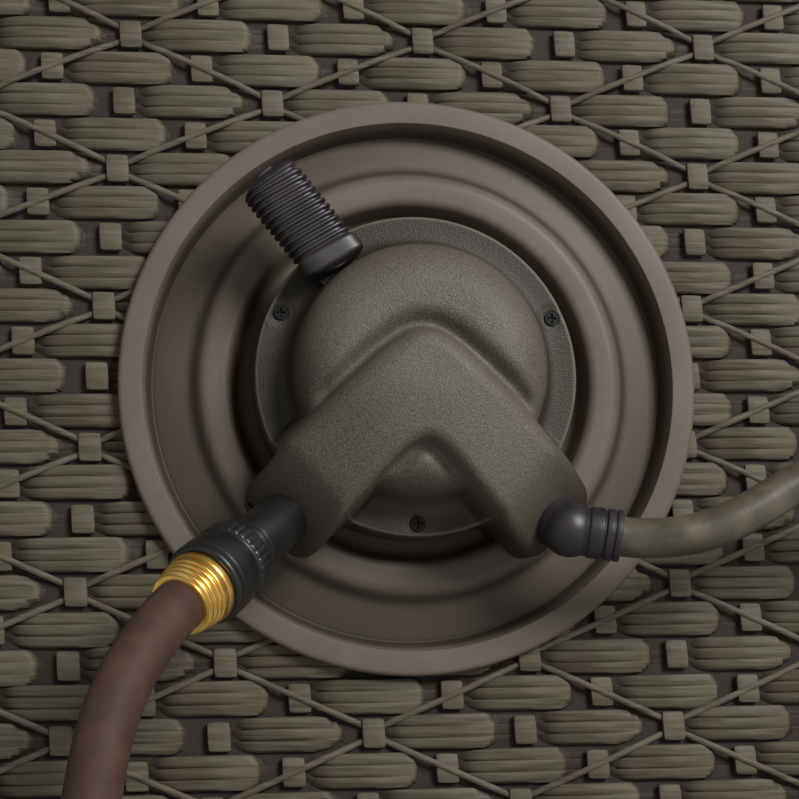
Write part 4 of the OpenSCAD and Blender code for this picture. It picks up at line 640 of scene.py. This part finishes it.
# Outlet elbow: an upright stub, a ball, and an arm with collar rings that the drain hose butts on
elbow = {"stubBore": 6.5, "armBore": 5.5, "ballRadius": 11.8,
         "stub": [(8.3, -27.6, .5), (8.3, -13.6, 0), (10.4, -13.6, 0), (11.3, -8, 1.2), (11.3, 3, .5)],
         "arm": [(10.3, 0, 0), (10.3, 7.8, .3), (11, 8.4, .6), (11, 13.9, .6), (10.1, 14.3, .2),
                 (10.1, 15, .2), (11, 15.4, .5), (11, 18.2, .4), (10.3, 18.5, .2), (10.3, 19, .2),
                 (11, 19.3, .5), (11, 21.5, .5), (10.4, 21.9, .2)]}
upTheBall = np.linspace(-np.pi / 2, np.pi / 2, 40)
ballOutline = elbow["ballRadius"] * np.stack([np.cos(upTheBall), np.sin(upTheBall)], -1)
ballOutline[[0, -1], 0] = 0
elbowForms = [moved(lathe(bored(elbow["stub"], elbow["stubBore"]), 96), onPort(1)),
              moved(lathe(ballOutline, 96), onPort(1)),
              moved(lathe(bored(elbow["arm"], elbow["armBore"]), 96), onArm)]
outletElbow = makePiece("outletElbow", elbowForms, 40)

# Tap coupling on the leader's far end: a sleeve, and a nut whose faces are a ripple of the radius:
# depth * (|cos(faces / 2 * turn)|^0.5 - 1)
tap = {"outline": [(6.5, 0, 0), (12.2, 0, .6), (13, 1.2, .6), (13, 18.6, .8), (14.3, 19.4, .6),
                   (15.5, 20.6, .8), (15.5, 36.6, 1), (14.6, 38, .6), (12.4, 38, .4), (12.4, 22, .5),
                   (6.5, 22, .5)],
       "faces": 12, "faceDepth": .7, "steps": 144}
tapOuter = rounded(tap["outline"], 6)
tapTurn = np.arange(tap["steps"]) * 2 * np.pi / tap["steps"]
tapHeight = tapOuter[:, 1:]
gripped = smoothstep(20.6, 22, tapHeight) * (1 - smoothstep(35, 36.4, tapHeight)) * (tapOuter[:, :1] > 15)
tapRipple = tap["faceDepth"] * (np.abs(np.cos(tapTurn * (tap["faces"] // 2))) ** .5 - 1) * gripped
tapCoupling = makePiece("tapCoupling", [moved(lathe(tapOuter, tap["steps"], tapRipple),
                                              lambda points: aimed(points, leaderCurve[-1], leaderEnd))], 40)

# Lever grip: rounded slices along its length, in the lever's own frame with y along the arm. The smooth
# block is followed by ribs and a closed end. A slice is a superellipse, (|cos|^n + |sin|^n)^(-1/n)
grip = {"from": 55.8, "reach": 108, "wide": 28, "thick": 20, "low": 27.5, "block": 11.2, "ribPitch": 3.2,
        "ribMean": .9, "ribDepth": .06, "lean": .13, "squareness": 4.4, "turn": 39}
gripFrom, gripReach = grip["from"], grip["reach"]
along = np.concatenate([[0], gripFrom + 11 * (.5 - .5 * np.cos(np.linspace(0, np.pi, 24))),
                        np.linspace(gripFrom + grip["block"], gripReach, 150), [0]])
along[0], along[-1] = along[1], along[-2]
into = along - gripFrom
block = (np.sqrt(np.clip(1 - np.clip(1 - into / 3.5, 0, 1) ** 2, 0, 1))
         * (1 - .12 * smoothstep(9.2, grip["block"], into)))
ribWave = np.clip(1.6 * np.cos((into - 12.8) * 2 * np.pi / grip["ribPitch"]), -1, 1)
ribs = grip["ribMean"] + grip["ribDepth"] * ribWave
ending = np.sqrt(np.clip(1 - np.clip((along - gripReach + 6) / 6, 0, 1) ** 2, 0, 1))
size = (np.where(into < grip["block"], block, np.where(along < gripReach - 4.5, ribs, .98))
        * np.maximum(ending, .35))
size[[0, -1]] = 0
ring, power = np.arange(72) * 2 * np.pi / 72, grip["squareness"]
square = (np.abs(np.cos(ring)) ** power + np.abs(np.sin(ring)) ** power) ** (-1 / power)
gripX = grip["wide"] / 2 * size[:, None] * square * np.cos(ring)
gripZ = grip["low"] + grip["thick"] / 2 * (1 + np.maximum(size, .6)[:, None] * square * np.sin(ring)
                                           * (size[:, None] > 0))
gripZ = np.maximum(gripZ, grip["low"])
# The ribs lean, so that their right ends lie nearer the axis
gripY = along[:, None] - grip["lean"] * gripX * (1 - smoothstep(gripReach - 9, gripReach - 2, along[:, None]))


# The lever's frame to the row frame: turned to the left from upright
def onLever(points):
    cosine, sine = math.cos(math.radians(grip["turn"])), math.sin(math.radians(grip["turn"]))
    return fromDish(np.stack([points[..., 0] * cosine - points[..., 1] * sine,
                              points[..., 0] * sine + points[..., 1] * cosine, points[..., 2]], -1))


gripPoints = np.stack([gripX, gripY, gripZ], -1)[:, ::-1]
leverGrip = makePiece("leverGrip", [moved(skin(gripPoints, False, True), onLever)], 60)
print("fittings ready")


# What each piece rides on, the finish it takes and the CAD nodes it stands for
placed = [(motorDish, "box", "motor_resin", "motor_dish"), (dishBosses, "box", "motor_resin", None),
          (dishSocket, "box", "motor_resin", None), (idlerSocket, "box", "motor_resin", None),
          (motorCover, "box", "motor_resin", "motor_cover"), (inletPipe, "box", "black_gloss", "inlet_pipe"),
          (inletNut, "nut", "black_gloss", "inlet_nut"), (brassFitting, "box", "brass", "brass_fitting"),
          (outletElbow, "box", "black_gloss", "outlet_elbow"), (tapCoupling, "box", "brass", "tap_coupling"),
          (leverGrip, "lever", "black_gloss", "lever_grip")]
for piece, body, slot, node in placed:
    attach(piece, body)
    if node:
        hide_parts(node)
for hose, slot, standsFor in ((leaderHose, "leader_rubber", ("leader_hose", "leader_coil")),
                              (drainHose, "drain_vinyl", ("drain_hose", "drain_coil"))):
    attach(hose, "box")
    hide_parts(*standsFor)
print("pieces on their bodies")


# A socket of a shader that takes part in sums, so that a pattern reads as a formula
class Wire:
    def __init__(self, tree, socket):
        self.tree = tree
        self.socket = socket

    # Any node: kind without its prefix, settings by name, inputs by socket name or number
    def node(self, kind, output=0, inputs=None, **settings):
        made = self.tree.nodes.new("ShaderNode" + kind)
        for key, value in settings.items():
            setattr(made, key, value)
        for key, value in (inputs or {}).items():
            if isinstance(value, Wire):
                self.tree.links.new(value.socket, made.inputs[key])
            else:
                made.inputs[key].default_value = value
        return Wire(self.tree, made.outputs[output])

    def calc(self, operation, *others):
        return self.node("Math", inputs=dict(enumerate((self, *others))), operation=operation)

    def __add__(self, other):
        return self.calc("ADD", other)

    def __radd__(self, other):
        return self.calc("ADD", other)

    def __sub__(self, other):
        return self.calc("SUBTRACT", other)

    def __rsub__(self, other):
        return self * -1 + other

    def __mul__(self, other):
        return self.calc("MULTIPLY", other)

    def __rmul__(self, other):
        return self.calc("MULTIPLY", other)

    # 0 below low and 1 above high, with a smooth rise between
    def rise(self, low, high):
        return self.node("MapRange", inputs={"Value": self, "From Min": low, "From Max": high},
                         interpolation_type="SMOOTHSTEP")

    # 1 where this value is centre, and 0 where it is more than width away
    def near(self, centre, width):
        return 1 - (self - centre).calc("ABSOLUTE").rise(0, width)

    # This place's coordinate along axis 0, 1 or 2
    def along(self, axis):
        return self.node("SeparateXYZ", output=axis, inputs={"Vector": self})

    # This place's distance from the dish's axis
    def fromAxis(self):
        centred = self.node("VectorMath", inputs={0: self, 1: (0, 0, -axisZ / 1000)},
                            operation="ADD")
        return self.node("VectorMath", output=1, inputs={0: centred.stretched((1, 0, 1))}, operation="LENGTH")

    def stretched(self, scale):
        return self.node("Mapping", inputs={"Vector": self, "Scale": scale})

    # Noise whose grains are about size millimetres across
    def noise(self, size, detail=2, rough=.5):
        return self.node("TexNoise", inputs={"Vector": self, "Scale": 1000 / size, "Detail": detail,
                                             "Roughness": rough})

    def cells(self, size, feature="F1"):
        return self.node("TexVoronoi", inputs={"Vector": self, "Scale": 1000 / size}, feature=feature)

    # The colour between one and another, by this value from 0 to 1
    def blend(self, one, another):
        made = self.node("Mix", output=2, inputs={0: self}, data_type="RGBA")
        node = made.socket.node
        for index, value in ((6, one), (7, another)):
            if isinstance(value, Wire):
                self.tree.links.new(value.socket, node.inputs[index])
            else:
                node.inputs[index].default_value = (*value, 1)
        return made


# A linear colour from its value in sRGB, 0 to 255
def tone(red, green, blue):
    return tuple((c / 255 / 12.92) if c < 10.3 else ((c / 255 + .055) / 1.055) ** 2.4
                 for c in (red, green, blue))


# One material. pattern takes a Wire of object coordinates and gives its colour, roughness and height in
# millimetres, as Wires or plain values
def material(name, pattern, metal=0, coat=0, specular=.5, coatRough=.1):
    made = bpy.data.materials.new(name)
    made.use_nodes = True
    tree = made.node_tree
    shader = tree.nodes["Principled BSDF"]
    shader.inputs["Metallic"].default_value = metal
    shader.inputs["Coat Weight"].default_value = coat
    shader.inputs["Coat Roughness"].default_value = coatRough
    shader.inputs["Specular IOR Level"].default_value = specular
    place = Wire(tree, tree.nodes.new("ShaderNodeTexCoord").outputs["Object"])
    colour, rough, height = pattern(place)
    for key, value in (("Base Color", colour), ("Roughness", rough)):
        if isinstance(value, Wire):
            tree.links.new(value.socket, shader.inputs[key])
        else:
            shader.inputs[key].default_value = (*value, 1) if key == "Base Color" else value
    if height is not None:
        bump = height.node("Bump", inputs={"Height": height, "Distance": .001, "Strength": 1})
        tree.links.new(bump.socket, shader.inputs["Normal"])
    return made


# Moulded resin of the cover: a pebbled face whose grains catch the light, with faint cloudy areas. Painted
# shade darkens the flange and the dome's foot, but not the pad inside the chevron, and darkens the legs
# towards their ends. A painted highlight lies on the flange's edge
def coverResin(place):
    pebble, cloud = place.noise(.7, 3, .65), place.noise(60, 2)
    bead = place.cells(.85)
    # The pad inside the chevron is left without the painted shade
    padUnshaded = place.along(0).near(.002, .034) * place.along(2).near(.233, .03)
    # Painted shade: darker where the cover lies low, on the flange and at the dome's foot
    low = place.along(1).rise((wallY - 54) / 1000, (wallY - 31) / 1000) * (1 - padUnshaded * .8)
    # Painted highlight: a light line along the flange's edge
    edgeHighlight = place.fromAxis().near(.0698, .0011) * low
    mixed = (pebble.rise(.3, .7) * .7 + cloud.rise(.3, .7) * .3)
    resin = mixed.blend(tone(56, 50, 42), tone(106, 99, 88))
    # Painted shade: darker along the legs, away from the axis
    far = place.fromAxis().rise(.046, .086) * .55 * (1 - padUnshaded)
    dark = far.blend((low * .85).blend(resin, tone(36, 30, 22)), tone(48, 43, 34))
    return (edgeHighlight * .8).blend(dark, tone(108, 101, 89)), .44 + pebble * .14, pebble * .17 - bead * .14


# Resin of the dish: finer and smoother, a little streaked. Painted shade darkens it with depth behind the
# rim, and most in the corners at the feet of the steps
def dishResin(place):
    fine, cloud = place.noise(.55, 2), place.noise(45, 3)
    wear = place.noise(6, 4, .65)
    mixed = cloud.rise(.3, .7) * .55 + fine * .25 + wear.rise(.45, .7) * .2
    depth = place.along(1) - (wallY - 6) / 1000
    radius = place.fromAxis()
    # Painted shade: darkest in the corners at the feet of the steps
    corners = (radius.near(.0975, .0045) + radius.near(.1165, .0035)) * depth.rise(.0015, .006)
    resin = mixed.blend(tone(88, 78, 69), tone(102, 92, 82))
    # Painted shade: darker with depth behind the rim
    shaded = (depth.rise(.001, .012) * .55).blend(resin, tone(60, 54, 42))
    return (corners * .7).blend(shaded, tone(38, 31, 22)), .44 + .12 * wear, fine * .05 + wear * .02


# Woven resin: streaks along the strands, brown and green patches, and painted shade in the hollows between
# the strands, found by their depth behind the panel's face along axis; side turns its sign
def wovenResin(scale, axis, face, side):
    def pattern(place):
        depth = (place.along(axis) - face / 1000) * side
        streak = place.stretched(scale).noise(1.6, 3, .6)
        fine = place.stretched(scale).noise(.5, 2)
        patch, cloud = place.noise(22, 3), place.noise(70, 2)
        base = streak.rise(.3, .7).blend(tone(68, 62, 49), tone(96, 89, 74))
        tinted = (patch.rise(.42, .68) * .5).blend(base, tone(82, 70, 57))
        aged = (cloud.rise(.4, .7) * .35).blend(tinted, tone(98, 94, 79))
        # Painted shade: darker in the hollows, the deeper they lie
        hollowShade = (depth.rise(.0009, .0042) * .86).blend(aged, tone(34, 26, 20))
        return hollowShade, .5 + .16 * streak, streak * .2 + fine * .06
    return pattern


# Board behind the strands: near black, painted shade for the gaps between them
def wovenDark(place):
    fine = place.noise(1.5, 2)
    return fine.blend(tone(24, 18, 14), tone(40, 31, 24)), .8, fine * .2


# Posts, rails and lid: smooth moulded resin with a fine satin grain
def frameResin(place):
    fine, cloud, scuff = place.noise(.8, 2), place.noise(90, 3), place.noise(9, 4, .7)
    mixed = cloud.rise(.3, .7) * .6 + scuff.rise(.5, .75) * .4
    return mixed.blend(tone(74, 67, 58), tone(91, 83, 72)), .44 + .14 * scuff, fine * .05


# Gloss black of the pipe and nut, a little green
def blackGloss(place):
    cloud, fine = place.noise(14, 3), place.noise(1.2, 2)
    return cloud.rise(.35, .7).blend(tone(10, 12, 12), tone(19, 22, 21)), .36 + .1 * cloud, fine * .02


# Softer black of the elbow and lever: the gloss black made lighter and purple, painted sheen for their broad
# highlights
def blackSheen(place):
    cloud, fine = place.noise(14, 3), place.noise(1.2, 2)
    return cloud.rise(.35, .7).blend(tone(24, 20, 24), tone(40, 34, 39)), .42 + .1 * cloud, fine * .02


def blackMatte(place):
    fine, cloud = place.noise(.9, 2), place.noise(20, 2)
    return cloud.blend(tone(24, 24, 25), tone(40, 39, 38)), .62 + .1 * fine, fine * .05


def brassMetal(place):
    cloud, fine = place.noise(5, 3), place.noise(.7, 2)
    colour = cloud.rise(.3, .75).blend(tone(240, 184, 88), tone(255, 214, 124))
    return colour, .29 + .06 * cloud, fine * .004


def steelMetal(place):
    cloud, fine = place.noise(7, 3), place.stretched((1, 1, 6)).noise(.8, 2)
    return cloud.blend(tone(150, 150, 152), tone(186, 186, 186)), .28 + .14 * cloud, fine * .01


# The cover's screws, nearly black
def screwBlack(place):
    fine, cloud = place.noise(.9, 2), place.noise(8, 2)
    return cloud.blend(tone(9, 9, 9), tone(18, 17, 16)), .5 + .1 * fine, fine * .03


def sealRubber(place):
    fine = place.noise(.8, 3)
    return fine.blend(tone(22, 22, 22), tone(38, 37, 36)), .75, fine * .05


# Leader hose: matt purple-brown rubber, dusty in places
def leaderRubber(place):
    fine, dust = place.noise(.7, 3), place.noise(18, 4, .6)
    colour = (dust.rise(.35, .75) * .7 + fine * .3).blend(tone(58, 41, 34), tone(82, 60, 50))
    return colour, .6 + .12 * dust, fine * .06


# Drain hose: olive-brown vinyl with a soft sheen and light smears
def drainVinyl(place):
    fine, smear = place.noise(.8, 2), place.noise(16, 4, .6)
    colour = smear.rise(.35, .75).blend(tone(68, 62, 50), tone(96, 88, 71))
    return colour, .3 + .16 * smear, fine * .02


def innerPlastic(place):
    fine, cloud = place.noise(1, 2), place.noise(30, 3)
    return cloud.blend(tone(58, 56, 52), tone(76, 73, 68)), .5 + .1 * fine, fine * .04


def gearPlastic(place):
    fine, cloud = place.noise(1, 2), place.noise(25, 3)
    return cloud.blend(tone(196, 190, 176), tone(216, 211, 198)), .42 + .1 * fine, fine * .02


finishes = {
    "shell_plastic": material("frameResin", frameResin),
    "woven_resin": material("wovenMotor", wovenResin((.05, .05, 1), 1, wallY, 1), specular=.22),
    "motor_resin": material("dishResin", dishResin, specular=.28),
    "black_gloss": material("blackGloss", blackGloss, coat=.2, coatRough=.3),
    "black_matte": material("blackMatte", blackMatte),
    "inner_plastic": material("innerPlastic", innerPlastic),
    "gear_plastic": material("gearPlastic", gearPlastic),
    "brass": material("brassMetal", brassMetal, metal=1),
    "steel": material("steelMetal", steelMetal, metal=1),
    "seal_rubber": material("sealRubber", sealRubber),
    "leader_rubber": material("leaderRubber", leaderRubber, specular=.25),
    "drain_vinyl": material("drainVinyl", drainVinyl),
}


def dress(piece, finish):
    piece.data.materials.clear()
    piece.data.materials.append(finish)


for subpart in frame["record"]["subparts"]:
    for holder in nodes[subpart["node"]].material_slots:
        holder.material = finishes[subpart["material_slot"]]
for piece, body, slot, node in placed:
    dress(piece, finishes[slot])
dress(motorCover, material("coverResin", coverResin, specular=.32))
# Painted sheen: a lighter copy of the gloss black for the elbow and lever
sheenBlack = material("blackSheen", blackSheen, coat=.15, coatRough=.35)
dress(outletElbow, sheenBlack)
dress(leverGrip, sheenBlack)
for holder in nodes["cover_screws"].material_slots:
    holder.material = material("screwBlack", screwBlack, specular=.2)
dress(leaderHose, finishes["leader_rubber"])
dress(drainHose, finishes["drain_vinyl"])
darkBoard = material("wovenDark", wovenDark)
dress(motorPanel[0], finishes["woven_resin"])
for name, panel, scale, axis, face, side in (("wovenFar", farPanel, (.05, .05, 1), 1, farY, -1),
                                             ("wovenFront", frontPanel, (.05, .05, 1), 0, frontX, -1),
                                             ("wovenRear", rearPanel, (.05, .05, 1), 0, rearX, 1),
                                             ("wovenLid", lidInlay, (.05, 1, 1), 2, inlayTop, -1)):
    dress(panel[0], material(name, wovenResin(scale, axis, face, side), specular=.22))
for weave, back in (motorPanel, farPanel, frontPanel, rearPanel, lidInlay):
    dress(back, darkBoard)
print("materials ready")


# Studio: a pale floor, a plain surround and three soft lamps, each (place, aim, size, power)
studio = {"floorReach": 6, "surround": (.97, .97, 1, 1), "strength": .17,
          "lamps": {"keyLamp": ((1.65, -2.85, 1.9), (0, -.25, .3), 1.4, 138),
                    "fillLamp": ((-1.5, -1.7, .9), (0, -.2, .3), 1.6, 2),
                    "backLamp": ((.6, 1.9, 1.9), (0, .1, .3), 1.6, 60)}}
ground = bpy.data.meshes.new("ground")
floorCorners = studio["floorReach"] * np.array([(-1, -1, 0), (1, -1, 0), (1, 1, 0), (-1, 1, 0)])
ground.from_pydata(floorCorners.tolist(), [], [(0, 1, 2, 3)])
floor = bpy.data.objects.new("floor", ground)
scene.collection.objects.link(floor)


def floorPaint(place):
    return place.noise(300, 2).blend((.45, .445, .44), (.49, .485, .48)), .7, None


dress(floor, material("floorPaint", floorPaint, specular=.1))
for name, (spot, aim, size, power) in studio["lamps"].items():
    made = bpy.data.objects.new(name, bpy.data.lights.new(name, "AREA"))
    scene.collection.objects.link(made)
    made.data.shape = "DISK"
    made.data.size = size
    made.data.energy = power
    made.location = spot
    made.rotation_euler = (Vector(aim) - Vector(spot)).to_track_quat("-Z", "Y").to_euler()
surround = bpy.data.worlds.new("surround")
scene.world = surround
surround.use_nodes = True
backdrop = surround.node_tree.nodes["Background"]
backdrop.inputs["Color"].default_value = studio["surround"]
backdrop.inputs["Strength"].default_value = studio["strength"]
scene.view_settings.view_transform = "Standard"
print("studio ready")
